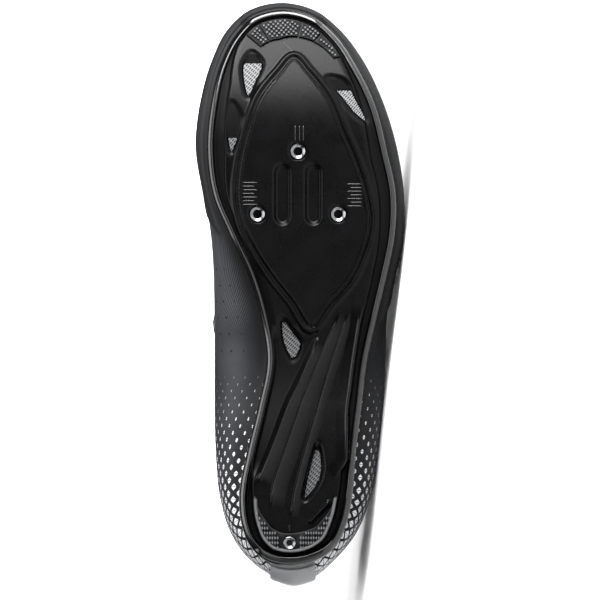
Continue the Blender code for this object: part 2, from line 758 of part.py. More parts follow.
def make_heel_screw(material):
    """The round insert in the heel pad, with its driver socket."""
    centre = screw_place()
    low = -HEEL_PAD_DEPTH + PAD_BEVEL
    screw = add_object("heel_screw", prism(circle(centre, SCREW_RADIUS), low,
                                           PLATE_WALL * ROOT_SHARE - CLEARANCE), material)
    socket = prism(circle(centre, SOCKET_RADIUS, 6), 2 * low, low + SOCKET_DEPTH)
    combine(screw, [add_object("socket", socket)], "DIFFERENCE")
    bend(screw)
    finish_smooth(screw)
    return screw


def make_insert(name, place, material):
    """One threaded ring of the cleat fastening, through the plate."""
    low = -LEAF_STEP - INSERT_PROUD
    ring = add_object(f"cleat_insert_{name}", prism(circle(place, INSERT_RADIUS), low,
                                                    PLATE_WALL), material)
    bore = prism(circle(place, INSERT_BORE, 16), 2 * low, 2 * PLATE_WALL)
    combine(ring, [add_object("bore", bore)], "DIFFERENCE")
    bend(ring)
    finish_smooth(ring)
    return ring


def make_screen(number, line, material):
    """The fine screen behind one vent, held a clearance inside its walls."""
    outline = real_outline(line)
    area = np.sum(outline[:, 0] * np.roll(outline[:, 1], -1)
                  - np.roll(outline[:, 0], -1) * outline[:, 1])
    outline = inset(outline, CLEARANCE if area < 0 else -CLEARANCE)
    screen = add_object(f"vent_screen_{number}",
                        prism(outline, SCREEN_DEPTH, SCREEN_DEPTH + SCREEN_WALL), material)
    bend(screen)
    finish_smooth(screen)
    return screen


def seat_height(plan):
    """Height of the plate's upper face under each plan point."""
    return plate_height(plan[:, 0], plan[:, 1], PLATE_WALL)


def wall_shares():
    """For each level of the wall, the shares in and up at every outline point."""
    place = stations()
    rows = [((0.0, 0.0),) * 4, *WALL_FORM, ((1.0, 1.0),) * 4]
    table = np.array(rows)
    return [[np.interp(place, WALL_STATIONS, level[:, axis]) for axis in (0, 1)]
            for level in table]


def upper_levels():
    """The upper's outer face: rings from its lasted edge under the foot up to the collar."""
    wide = loop_of(*plan_rows(WIDE_LINE, lambda row, side: (row[3 + side] * HEEL_HEIGHT,)), STEPS)
    top = loop_of(*plan_rows(TOP_LINE, lambda row, side: (row[3] * HEEL_HEIGHT,)), STEPS)
    levels = []
    for distance in (*FACE_RINGS, 0.0):
        plan = inset(SOLE_RING, distance)
        levels.append(np.column_stack([plan, seat_height(plan) + CLEARANCE]))
    foot = levels[-1]
    wide[:, 2] += foot[:, 2]
    for turn in UNDER_TURNS:
        angle = math.radians(turn)
        plan = foot[:, :2] + (wide - foot)[:, :2] * math.sin(angle)
        height = foot[:, 2] + (wide - foot)[:, 2] * (1 - math.cos(angle))
        levels.append(np.column_stack([plan, height]))
    for inward, upward in wall_shares():
        plan = wide[:, :2] + (top - wide)[:, :2] * inward[:, None]
        height = wide[:, 2] + (top - wide)[:, 2] * upward
        levels.append(np.column_stack([plan, height]))
    for k in BAND_LEVELS[::-1]:
        levels.insert(k + 1, levels[k] + (levels[k + 1] - levels[k]) * BAND_EDGE)
    return np.array(levels)


def outward(levels):
    """Unit normals of a stack of rings."""
    round_it = np.roll(levels, -1, axis=1) - np.roll(levels, 1, axis=1)
    up_it = np.gradient(levels, axis=0)
    normal = np.cross(up_it, round_it)
    return normal / np.linalg.norm(normal, axis=2)[:, :, None]


UPPER_LEVELS = upper_levels()
UPPER_NORMALS = outward(UPPER_LEVELS)
FIRST_WALL = 4 + len(UNDER_TURNS)


def band_mask():
    """Where the thicker band round the forefoot lies, for every level and outline point."""
    place = stations()
    starts = np.where(is_inner(), BAND_ENDS[0], BAND_ENDS[1])
    along = (place >= starts).astype(float)
    level = np.arange(len(UPPER_LEVELS))[:, None]
    return along[None, :] * ((level > BAND_LEVELS[0]) & (level <= BAND_LEVELS[1] + 1))


def wall_thickness():
    """Wall of the upper at every grid point, thicker where the collar is padded."""
    place = stations()[None, :]
    drop = UPPER_LEVELS[-1, :, 2][None, :] - UPPER_LEVELS[:, :, 2]
    depth = np.clip(1 - drop / COLLAR_PAD_DEPTH, 0, 1)
    start, stop = PAD_FADE_SHARES
    fade = np.clip((stop - place) / (stop - start), 0, 1)
    above = (np.arange(len(UPPER_LEVELS)) >= FIRST_WALL)[:, None]
    return UPPER_WALL + COLLAR_PAD * np.sin(math.pi / 2 * depth) * fade * above


def make_upper(material):
    """The upper as one hollow shell, from its lasted edge round the collar and back inside."""
    outer = UPPER_LEVELS + UPPER_NORMALS * (BAND_STEP * band_mask())[:, :, None]
    thickness = wall_thickness()[:, :, None]
    inner = UPPER_LEVELS - UPPER_NORMALS * thickness
    rim = (outer[-1] + inner[-1]) / 2
    rim[:, 2] += COLLAR_ROLL_SHARE * thickness[-1, :, 0]
    lining = [ring for k, ring in enumerate(inner) if k - 1 not in BAND_TOPS]
    rings = [*outer, rim, *lining[::-1]]
    bm = bmesh.new()
    rows = [[bm.verts.new(point) for point in ring] for ring in rings]
    for k, row in enumerate(rows):
        above = rows[(k + 1) % len(rows)]
        for i, vert in enumerate(row):
            j = (i + 1) % len(row)
            bm.faces.new((vert, row[j], above[j], above[i]))
    upper = add_object("upper", bm, material)
    finish_smooth(upper, UPPER_CREASE)
    return upper


def make_insole(material):
    """The foot bed, which lies on the upper's lasted edge."""
    lift = UPPER_WALL + 5 * CLEARANCE
    distances = (FACE_RINGS[0], UPPER_WALL + INSOLE_INSET)
    plans = [core_ring()[::2], *(inset(SOLE_RING, distance)[::2] for distance in distances)]
    low = [np.column_stack([plan, seat_height(plan) + lift]) for plan in plans]
    high = [ring + (0, 0, INSOLE_WALL) for ring in low]
    bm = ring_solid([*low, *high[::-1]])
    cut_long_faces(bm, STATION_PITCH)
    insole = add_object("insole", bm, material)
    finish_smooth(insole)
    return insole


def throat_arch(left, right):
    """Three points of a low arch between two points of the throat's edge."""
    span = right - left
    rise = THROAT_ARCH * np.linalg.norm(span) / BALL_WIDTH * 2
    return [left + span * share + np.array(ARCH_LEAN) * rise * math.sin(math.pi * share)
            for share in (0.25, 0.5, 0.75)]


def lap_point(index, share):
    """A point of the tongue's outer face under the upper, at a share of the tongue's lap."""
    edge, below = UPPER_LEVELS[-1, index], UPPER_LEVELS[-2, index]
    way = below - edge
    blend = min(share * TONGUE_LAP / np.linalg.norm(way), 1.0)
    normal = UPPER_NORMALS[-1, index] * (1 - blend) + UPPER_NORMALS[-2, index] * blend
    sink = UPPER_WALL + 2 * CLEARANCE
    return edge + way * blend - normal / np.linalg.norm(normal) * sink


def throat_rows(first, last):
    """Cross rows over the throat at the wall's level: lap, edge, arch, edge, lap."""
    count = len(SOLE_RING)
    rows = []
    for i in range(first, last + 1):
        outer, inner = i, (count - i) % count
        left = [lap_point(inner, share) for share in (1.0, 0.5, 0.0)]
        right = [lap_point(outer, share) for share in (0.0, 0.5, 1.0)]
        rows.append(left + throat_arch(left[-1], right[0]) + right)
    return rows


def sheet_solid(rows, thickness):
    """A closed sheet over a grid of points, grown along the grid's normals."""
    grid = np.array(rows)
    along = np.gradient(grid, axis=0)
    across = np.gradient(grid, axis=1)
    normal = np.cross(along, across)
    length = np.linalg.norm(normal, axis=2)[:, :, None]
    grown = grid + normal / np.maximum(length, 1e-12) * thickness
    bm = bmesh.new()
    layers = [[[bm.verts.new(point) for point in row] for row in layer] for layer in (grid, grown)]
    height, width = grid.shape[:2]
    for layer in layers:
        for i in range(height - 1):
            for j in range(width - 1):
                bm.faces.new((layer[i][j], layer[i][j + 1], layer[i + 1][j + 1], layer[i + 1][j]))
    border = [(i, 0) for i in range(height)] + [(height - 1, j) for j in range(1, width)]
    border += [(i, width - 1) for i in range(height - 2, -1, -1)]
    border += [(0, j) for j in range(width - 2, 0, -1)]
    for (i, j), (m, n) in zip(border, border[1:] + border[:1]):
        bm.faces.new((layers[0][i][j], layers[0][m][n], layers[1][m][n], layers[1][i][j]))
    return bm


def make_tongue(material):
    """The padded tongue under the throat's edges, standing proud of the collar's front."""
    rows = throat_rows(int(TONGUE_START_SHARE * HALF), HALF - TONGUE_STOP)
    left, right = rows[0][2], rows[0][-3]
    crown = np.array(throat_arch(left, right))
    for share, narrow in TONGUE_END:
        inward = (right - left) * narrow
        across = [left + inward, *crown, right - inward]
        row = spline(across, 2)
        rows.insert(0, list(row + np.array(TONGUE_LEAN) * TONGUE_RISE * share))
    tongue = add_object("tongue", sheet_solid(rows, -TONGUE_WALL), material)
    finish_smooth(tongue)
    return tongue


def cover_tree():
    """The upper's outer face with its throat bridged, for laying straps on."""
    bands = UPPER_LEVELS + UPPER_NORMALS * (BAND_STEP * band_mask())[:, :, None]
    count = len(SOLE_RING)
    points = [Vector(point) for ring in bands for point in ring]
    faces = []
    for k in range(len(bands) - 1):
        for i in range(count):
            j = (i + 1) % count
            faces.append((k * count + i, k * count + j, (k + 1) * count + j, (k + 1) * count + i))
    for i in range(int(TONGUE_START_SHARE * HALF) - TONGUE_STOP, HALF):
        corners = []
        for j in (i, i + 1):
            left, right = bands[-1, count - j], bands[-1, j]
            corners.append([left, *throat_arch(left, right), right])
        for a, b, c, d in zip(corners[0], corners[0][1:], corners[1][1:], corners[1]):
            faces.append(range(len(points), len(points) + 4))
            points += [Vector(point) for point in (a, b, c, d)]
    return BVHTree.FromPolygons(points, faces)


def make_strap(number, tree, material):
    """One strap over the throat, lying on the upper from side to side."""
    middle = STRAP_FIRST_SHARE * LENGTH + (STRAP_COUNT - number) * (STRAP_WIDTH + STRAP_SPACING)
    axis = Vector((middle, STRAP_AXIS[0] * BALL_WIDTH, STRAP_AXIS[1] * HEEL_HEIGHT))
    turns = np.radians(np.linspace(*STRAP_ARC, STRAP_RAYS * STRAP_SPANS + 1))
    rays = [Vector((0.0, math.sin(turn), math.cos(turn))) for turn in turns]
    rows = []
    for offset in np.linspace(-0.5, 0.5, STRAP_ROWS):
        start = axis + Vector((offset * STRAP_WIDTH, 0, 0))
        reach = np.array([tree.ray_cast(start, ray)[3] for ray in rays])
        row = []
        for i in range(0, len(turns), STRAP_RAYS):
            widest = reach[max(0, i - STRAP_RAYS + 1):i + STRAP_RAYS].max()
            row.append(np.array(start + rays[i] * (widest + STRAP_GAP)))
        rows.append(row)
    strap = add_object(f"strap_{number}", sheet_solid(rows, STRAP_WALL), material)
    finish_smooth(strap)
    return strap


def make_heel_tab(material):
    """The smooth panel up the back of the heel."""
    foot = len(FACE_RINGS)
    reach = np.linspace(*TAB_SIDES, TAB_COLUMNS) * TAB_WIDTH
    near = [i % len(SOLE_RING) for i in range(-TAB_REACH, TAB_REACH + 1)]
    places = [foot + TAB_LOW_SHARE, *range(foot + 1, len(UPPER_LEVELS))]
    rows = []
    for place in places:
        k = int(place)
        part = place - k
        above = min(k + 1, len(UPPER_LEVELS) - 1)
        ring = UPPER_LEVELS[k] * (1 - part) + UPPER_LEVELS[above] * part
        slant = UPPER_NORMALS[k] * (1 - part) + UPPER_NORMALS[above] * part
        across = ring[near, 1]
        row = []
        for target in reach:
            point = np.array([np.interp(target, across, ring[near, axis]) for axis in range(3)])
            normal = np.array([np.interp(target, across, slant[near, axis]) for axis in range(3)])
            row.append(point + normal / np.linalg.norm(normal) * 2 * CLEARANCE)
        rows.append(row)
    tab = add_object("heel_tab", sheet_solid(rows, TAB_WALL), material)
    finish_smooth(tab)
    return tab


def world_points(objects):
    """Every evaluated vertex of the objects."""
    depsgraph = bpy.context.evaluated_depsgraph_get()
    points = []
    for obj in objects:
        found = obj.evaluated_get(depsgraph)
        points += [found.matrix_world @ vert.co for vert in found.data.vertices]
    return points


def centre_of_mass(objects):
    """The middle of the objects' volume."""
    moment, volume = Vector(), 0.0
    for obj in objects:
        mesh = obj.data
        mesh.calc_loop_triangles()
        for triangle in mesh.loop_triangles:
            a, b, c = (mesh.vertices[i].co for i in triangle.vertices)
            share = a.dot(b.cross(c)) / 6
            moment += (a + b + c) / 4 * share
            volume += share
    return moment / volume


def resting_side(objects):
    """The outward normal of the hull face, on the outer side, that the shoe comes to rest on."""
    centre = centre_of_mass(objects)
    bm = bmesh.new()
    for point in world_points(objects):
        bm.verts.new(point)
    hull = bmesh.ops.convex_hull(bm, input=bm.verts[:])
    faces = [item for item in hull["geom"] if isinstance(item, bmesh.types.BMFace)]
    best, normal = -1.0, Vector((0, 1, 0))
    for face in faces:
        out = face.normal if face.normal.dot(face.verts[0].co - centre) > 0 else -face.normal
        corners = [vert.co for vert in face.verts]
        drop = centre + out * out.dot(corners[0] - centre)
        edges = zip(corners, corners[1:] + corners[:1])
        turns = [(b - a).cross(drop - a).dot(out) for a, b in edges]
        inside = all(turn > 0 for turn in turns) or all(turn < 0 for turn in turns)
        if inside and out.y > LEAST_SIDEWAYS and out.y > best:
            best, normal = out.y, out.copy()
    bm.free()
    return normal


def lay_on_side(objects):
    """Carries every object on an empty, turned so that the shoe lies on its outer side."""
    down = resting_side(objects)
    ahead = (Vector((1, 0, 0)) - down * down.x).normalized()
    up = -down
    turn = Matrix((ahead, up.cross(ahead), up)).to_4x4()
    points = [turn @ point for point in world_points(objects)]
    lows = [min(point[axis] for point in points) for axis in range(3)]
    highs = [max(point[axis] for point in points) for axis in range(3)]
    shift = Vector((-(lows[0] + highs[0]) / 2, -(lows[1] + highs[1]) / 2, -lows[2]))
    carrier = bpy.data.objects.new("shoe", None)
    bpy.context.scene.collection.objects.link(carrier)
    for obj in objects:
        obj.parent = carrier
    carrier.matrix_world = Matrix.Translation(shift) @ turn
    bpy.context.view_layer.update()
    return carrier


def main():
    """Builds the shoe's pieces and lays them down."""
    for obj in list(bpy.data.objects):
        bpy.data.objects.remove(obj)
    composite = make_material("composite", (0.035, 0.037, 0.040), 0.32, coat=0.5)
    rubber = make_material("pad_rubber", (0.045, 0.046, 0.048), 0.62)
    metal = make_material("insert_metal", (0.72, 0.73, 0.74), 0.25, metallic=1.0)
    screen = make_material("screen_mesh", (0.55, 0.56, 0.57), 0.45, metallic=0.6)
    shell = make_material("shell", (0.050, 0.052, 0.058), 0.60)
    panel = make_material("tab_panel", (0.45, 0.46, 0.48), 0.38)
    padding = make_material("padding", (0.030, 0.031, 0.034), 0.90)
    webbing = make_material("strap_webbing", (0.050, 0.051, 0.055), 0.70)
    pieces = [
        make_outsole(composite),
        make_toe_pad(rubber),
        make_heel_pad(rubber),
        make_heel_screw(metal),
    ]
    pieces += [make_insert(name, place, metal) for name, place in bolt_places().items()]
    pieces += [make_screen(i + 1, line, screen) for i, line in enumerate(VENT_LINES)]
    pieces.append(make_insole(padding))
    pieces.append(make_upper(shell))
    pieces.append(make_tongue(padding))
    tree = cover_tree()
    pieces += [make_strap(i + 1, tree, webbing) for i in range(STRAP_COUNT)]
    pieces.append(make_heel_tab(panel))
    bpy.context.view_layer.update()
    lay_on_side(pieces)


main()
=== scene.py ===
"""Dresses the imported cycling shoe: moulded sole, rubber pads, upper, tongue, straps and stage.

Everything is worked out in the shoe's own frame, x from heel to toe, +y the outer side and z
upwards from the ground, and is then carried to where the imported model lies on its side.
All lengths are metres, and shares are of the shoe's length, ball width or heel height.
"""

import logging
import math
from collections.abc import Callable, Sequence
from dataclasses import dataclass
from enum import Enum

import bmesh
import bpy
import numpy as np
from mathutils import Matrix, Vector
from mathutils.bvhtree import BVHTree

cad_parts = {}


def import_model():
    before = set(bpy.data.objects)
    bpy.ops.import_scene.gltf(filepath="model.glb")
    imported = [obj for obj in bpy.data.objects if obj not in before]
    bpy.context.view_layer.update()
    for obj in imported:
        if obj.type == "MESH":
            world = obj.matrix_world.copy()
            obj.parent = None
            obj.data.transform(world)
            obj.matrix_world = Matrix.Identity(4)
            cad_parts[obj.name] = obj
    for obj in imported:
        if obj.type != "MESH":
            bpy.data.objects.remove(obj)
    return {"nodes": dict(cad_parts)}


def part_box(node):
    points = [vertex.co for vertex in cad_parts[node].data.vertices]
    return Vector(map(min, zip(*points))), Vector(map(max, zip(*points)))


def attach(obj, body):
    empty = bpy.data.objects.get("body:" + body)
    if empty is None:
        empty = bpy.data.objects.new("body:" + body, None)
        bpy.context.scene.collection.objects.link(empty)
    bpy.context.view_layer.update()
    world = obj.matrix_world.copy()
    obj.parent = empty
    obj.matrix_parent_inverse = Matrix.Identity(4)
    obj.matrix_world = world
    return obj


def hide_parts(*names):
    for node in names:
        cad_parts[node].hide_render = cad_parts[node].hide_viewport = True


log = logging.getLogger("shoe")

Colour = tuple[float, float, float]
Plan = tuple[float, float]
Mesh = bmesh.types.BMesh
Material = bpy.types.Material

# Sizes that several pieces share
LENGTH = 0.2840
BALL_WIDTH = 0.1006
HEEL_HEIGHT = 0.0840
CLEARANCE = 0.0003
PLATE_WALL = 0.0032
EDGE_LIFT = 0.0035
LEAF_STEP = 0.0015
BOLT_ROW_ALONG = 0.1808
BOLT_REACH = 0.0304
BOLT_SPREAD = 0.0392
INSERT_RADIUS = 0.0036
HEEL_PAD_WIDTH = 0.0094
HEEL_PAD_DEPTH = 0.0036
SCREW_PLACE = -0.15
UPPER_WALL = 0.0018
TAB_WIDTH = 0.0210
TAB_SIDES = (-0.62, 0.38)

# Where the sole's heel, waist and ball begin and end
HEEL_TAIL_SHARE = 0.090
HEEL_FLAT_SHARE = 0.200
BALL_START_SHARE = 0.600
BALL_END_SHARE = 0.765
SPINE_SHARES = (0.130, 0.870)
LIFT_START_SHARE = 0.74
LIFT_LIMIT = 1.3
LEAST_HALF_SHARE = 0.2

# Plan of the plate: share along, then inner and outer edge across
SOLE_LINE = (
    (0.0350, -0.034, -0.034),
    (0.0445, -0.157, 0.090),
    (0.0670, -0.228, 0.180),
    (0.1055, -0.272, 0.233),
    (0.1515, -0.285, 0.261),
    (0.2290, -0.248, 0.281),
    (0.3100, -0.194, 0.310),
    (0.3870, -0.154, 0.338),
    (0.4650, -0.187, 0.387),
    (0.5280, -0.240, 0.428),
    (0.5985, -0.328, 0.467),
    (0.6690, -0.410, 0.473),
    (0.7465, -0.439, 0.430),
    (0.8275, -0.420, 0.370),
    (0.8945, -0.376, 0.278),
    (0.9435, -0.308, 0.185),
    (0.9720, -0.233, 0.094),
    (0.9885, -0.080, -0.080),
)

# Widest ring of the upper: as above, then its height on the inner and outer side
WIDE_LINE = (
    (0.0018, -0.030, -0.030, 0.262, 0.262),
    (0.0155, -0.132, 0.090, 0.262, 0.262),
    (0.0423, -0.239, 0.181, 0.265, 0.260),
    (0.0845, -0.325, 0.278, 0.270, 0.255),
    (0.1480, -0.381, 0.353, 0.280, 0.250),
    (0.2325, -0.403, 0.391, 0.290, 0.240),
    (0.3100, -0.408, 0.414, 0.300, 0.230),
    (0.3870, -0.408, 0.426, 0.300, 0.220),
    (0.4650, -0.409, 0.435, 0.280, 0.205),
    (0.5280, -0.411, 0.466, 0.250, 0.190),
    (0.5985, -0.423, 0.505, 0.220, 0.175),
    (0.6690, -0.454, 0.507, 0.190, 0.165),
    (0.7535, -0.490, 0.471, 0.165, 0.155),
    (0.8345, -0.465, 0.400, 0.145, 0.140),
    (0.9015, -0.412, 0.308, 0.125, 0.125),
    (0.9542, -0.338, 0.197, 0.112, 0.112),
    (0.9840, -0.249, 0.095, 0.105, 0.105),
    (1.0000, -0.085, -0.085, 0.102, 0.102),
)

# Collar and throat edge: as above, with one height
TOP_LINE = (
    (0.0300, -0.020, -0.020, 1.000),
    (0.0370, -0.090, 0.060, 0.994),
    (0.0570, -0.168, 0.138, 0.952),
    (0.0960, -0.228, 0.208, 0.875),
    (0.1480, -0.273, 0.258, 0.800),
    (0.2180, -0.303, 0.293, 0.755),
    (0.2920, -0.313, 0.313, 0.790),
    (0.3590, -0.298, 0.303, 0.900),
    (0.4190, -0.253, 0.263, 1.020),
    (0.4720, -0.199, 0.219, 1.045),
    (0.5210, -0.154, 0.174, 1.000),
    (0.5600, -0.114, 0.139, 0.950),
    (0.5880, -0.080, 0.104, 0.907),
    (0.6075, -0.050, 0.075, 0.880),
    (0.6200, -0.025, 0.050, 0.865),
    (0.6270, -0.005, 0.030, 0.856),
    (0.6305, 0.006, 0.018, 0.852),
    (0.6312, 0.012, 0.012, 0.851),
)

# Shares inwards and upwards of each level of the wall, at four stations from heel to toe
WALL_STATIONS = (0.00, 0.45, 0.70, 1.00)
WALL_FORM = (
    ((0.000, 0.000), (0.000, 0.000), (0.000, 0.000), (0.000, 0.000)),
    ((0.030, 0.150), (0.015, 0.150), (0.012, 0.110), (0.018, 0.190)),
    ((0.180, 0.380), (0.060, 0.330), (0.060, 0.260), (0.070, 0.370)),
    ((0.450, 0.580), (0.180, 0.530), (0.170, 0.420), (0.185, 0.520)),
    ((0.750, 0.760), (0.390, 0.720), (0.390, 0.600), (0.400, 0.650)),
    ((0.950, 0.900), (0.680, 0.880), (0.680, 0.790), (0.700, 0.815)),
    ((1.000, 1.000), (1.000, 1.000), (1.000, 1.000), (1.000, 1.000)),
)
UNDER_TURNS = (24.0, 46.0, 68.0)
LASTED_RINGS = (0.0090, 0.0041, 0.0)

# Along the station: heel rim's share, then trough width and depth on the inner and outer side
RIM_FORM = (
    (0.00, 1.0, 0.20, 0.6, 0.20, 0.6),
    (0.06, 0.9, 0.25, 0.7, 0.25, 0.7),
    (0.15, 0.2, 0.60, 0.9, 0.60, 0.9),
    (0.24, 0.1, 0.60, 0.9, 0.60, 0.9),
    (0.29, 0.0, 0.25, 0.0, 0.60, 0.8),
    (0.55, 0.0, 0.25, 0.0, 0.70, 0.8),
    (0.63, 0.0, 0.55, 0.8, 0.90, 1.0),
    (0.70, 0.0, 1.00, 1.0, 1.00, 1.0),
    (0.80, 0.0, 0.80, 1.0, 0.50, 1.0),
    (0.84, 0.0, 0.40, 1.0, 0.25, 0.8),
    (0.87, 0.0, 0.20, 0.8, 0.20, 0.6),
    (1.00, 0.0, 0.20, 0.6, 0.20, 0.6),
)

LEAF_LINE = (
    (0.4470, 0.060, 0.060),
    (0.4860, -0.020, 0.154),
    (0.5280, -0.114, 0.256),
    (0.5750, -0.202, 0.314),
    (0.6230, -0.266, 0.347),
    (0.6690, -0.288, 0.328),
    (0.7220, -0.276, 0.281),
    (0.7750, -0.241, 0.217),
    (0.8350, -0.182, 0.145),
    (0.8800, -0.085, 0.046),
    (0.9035, -0.020, -0.020),
)

VENT_LINES = (
    ((0.9130, -0.225), (0.8965, -0.174), (0.8627, -0.205), (0.8384, -0.240),
     (0.8662, -0.262), (0.8950, -0.262)),
    ((0.8694, 0.143), (0.8641, 0.222), (0.8324, 0.279), (0.7958, 0.323),
     (0.8028, 0.294), (0.8380, 0.209)),
    ((0.8250, -0.318), (0.8063, -0.282), (0.7746, -0.284), (0.7430, -0.322),
     (0.7711, -0.340), (0.8028, -0.340)),
    ((0.4577, -0.073), (0.4345, -0.024), (0.4151, 0.014), (0.3894, -0.027),
     (0.4046, -0.055), (0.4300, -0.076)),
    ((0.2426, 0.091), (0.2085, 0.115), (0.1810, 0.101), (0.1504, 0.032),
     (0.1912, 0.049), (0.2289, 0.078)),
)

# Crest lines of the long ribs in millimetres along and across, with the width of the slope
# beside each crest: positive where it falls to the outer side, negative to the inner side
RIBS = (
    (((118.8, 9.7), (109.6, 5.3), (100.9, 1.4), (91.2, -3.4), (70.3, -11.3), (49.9, -19.5)), 6.4),
    (((132.9, 20.9), (118.8, 14.5), (106.7, 9.2), (97.2, 4.9), (81.0, -1.0), (64.0, -6.8),
      (49.5, -11.6), (37.8, -13.1)), 6.4),
    (((133.9, 25.2), (122.0, 20.9), (108.2, 16.2), (97.2, 12.8), (86.3, 9.7), (71.3, 5.3),
      (55.8, 1.0), (43.8, -1.7), (33.0, -3.4)), 3.4),
    (((137.3, 31.8), (129.0, 30.1), (119.3, 28.6), (106.7, 26.7), (97.2, 25.5), (86.3, 24.0),
      (68.4, 23.8), (61.1, 23.3), (52.9, 16.7)), -5.2),
    (((42.2, 15.5), (37.0, 10.5), (31.0, 4.9)), 2.4),
)

# Folds behind the ball and the throat: station, lean for each level, depth
FOLDS = (
    (0.640, 0.010, 0.0007),
    (0.672, 0.016, 0.0009),
    (0.706, 0.012, 0.0006),
    (0.455, -0.012, 0.0005),
)


def smooth(values: np.ndarray, low: float | np.ndarray, high: float | np.ndarray) -> np.ndarray:
    """Rises softly from 0 at low to 1 at high."""
    share = np.clip((values - low) / (high - low), 0.0, 1.0)
    return share * share * (3 - 2 * share)


def bump(values: np.ndarray, middle: float, reach: float) -> np.ndarray:
    """A soft hump of height 1 round a middle, gone at the reach on either side."""
    share = np.clip(1 - np.abs(values - middle) / reach, 0.0, 1.0)
    return share * share * (3 - 2 * share)


def spline(knots: np.ndarray, steps: int, closed: bool = False) -> np.ndarray:
    """Samples a smooth curve through knots, which may each be a point or a ring of points.

    Args:
        knots: The places the curve runs through, first axis along the curve.
        steps: Samples in each span.
        closed: Whether the curve returns to its start.

    Returns:
        The samples, stacked along the first axis.
    """
    knots = np.asarray(knots, dtype=float)
    before, after = np.roll(knots, 1, axis=0), np.roll(knots, -1, axis=0)
    back = np.linalg.norm(knots - before, axis=-1, keepdims=True)
    ahead = np.linalg.norm(after - knots, axis=-1, keepdims=True)
    slopes = ((knots - before) / back * ahead + (after - knots) / ahead * back) / (back + ahead)
    if not closed:
        slopes[0] = (knots[1] - knots[0]) / ahead[0]
        slopes[-1] = (knots[-1] - knots[-2]) / back[-1]
    found = []
    for i in range(len(knots) if closed else len(knots) - 1):
        j, span = (i + 1) % len(knots), ahead[i]
        for t in np.arange(steps) / steps:
            found.append(
                (1 + 2 * t) * (1 - t) ** 2 * knots[i] + t * (1 - t) ** 2 * span * slopes[i]
                + t * t * (3 - 2 * t) * knots[j] + t * t * (t - 1) * span * slopes[j]
            )
    if not closed:
        found.append(knots[-1])
    return np.array(found)


def loop_of(table: Sequence, steps: int, heights: tuple[int, ...] = ()) -> np.ndarray:
    """A closed line from the heel up the outer side to the toe and back down the inner side.

    Args:
        table: Rows of shares: along, inner edge across, outer edge across and any heights.
        steps: Samples in each span.
        heights: The columns with the inner and the outer side's height, if there are any.

    Returns:
        The line's points, with a height as third value where the columns are given.
    """
    inner, outer = (
        [(row[0] * LENGTH, row[1 + side] * BALL_WIDTH,
          *(row[column] * HEEL_HEIGHT for column in heights[side:side + 1])) for row in table]
        for side in (0, 1)
    )
    return spline(outer + inner[-2:0:-1], steps, closed=True)


def unit(ways: np.ndarray) -> np.ndarray:
    """Ways brought to length one."""
    return ways / np.maximum(np.linalg.norm(ways, axis=-1, keepdims=True), 1e-12)


def inward_of(ring: np.ndarray) -> np.ndarray:
    """Unit ways to the inside of a closed plan line that turns as the outline does."""
    tangent = np.roll(ring, -1, axis=0) - np.roll(ring, 1, axis=0)
    return unit(np.stack([tangent[:, 1], -tangent[:, 0]], axis=1))


def reach_along(path: np.ndarray) -> np.ndarray:
    """Length run at each point of a path."""
    return np.concatenate([[0.0], np.cumsum(np.linalg.norm(np.diff(path, axis=0), axis=1))])


def mixed(values: np.ndarray, place: float, reach: np.ndarray) -> np.ndarray:
    """Rows of values read at one length run along their path."""
    return np.array([np.interp(place, reach, values[:, axis]) for axis in range(3)])


def real(line: Sequence[Plan], steps: int = 6) -> np.ndarray:
    """A smooth closed line through a row of shares."""
    return spline([(x * LENGTH, y * BALL_WIDTH) for x, y in line], steps, closed=True)


def bolt_places() -> dict[str, tuple[float, float]]:
    """Names and plan places of the three cleat bolts."""
    return {
        "front": (BOLT_ROW_ALONG + BOLT_REACH, 0.0),
        "medial": (BOLT_ROW_ALONG, -BOLT_SPREAD / 2),
        "lateral": (BOLT_ROW_ALONG, BOLT_SPREAD / 2),
    }


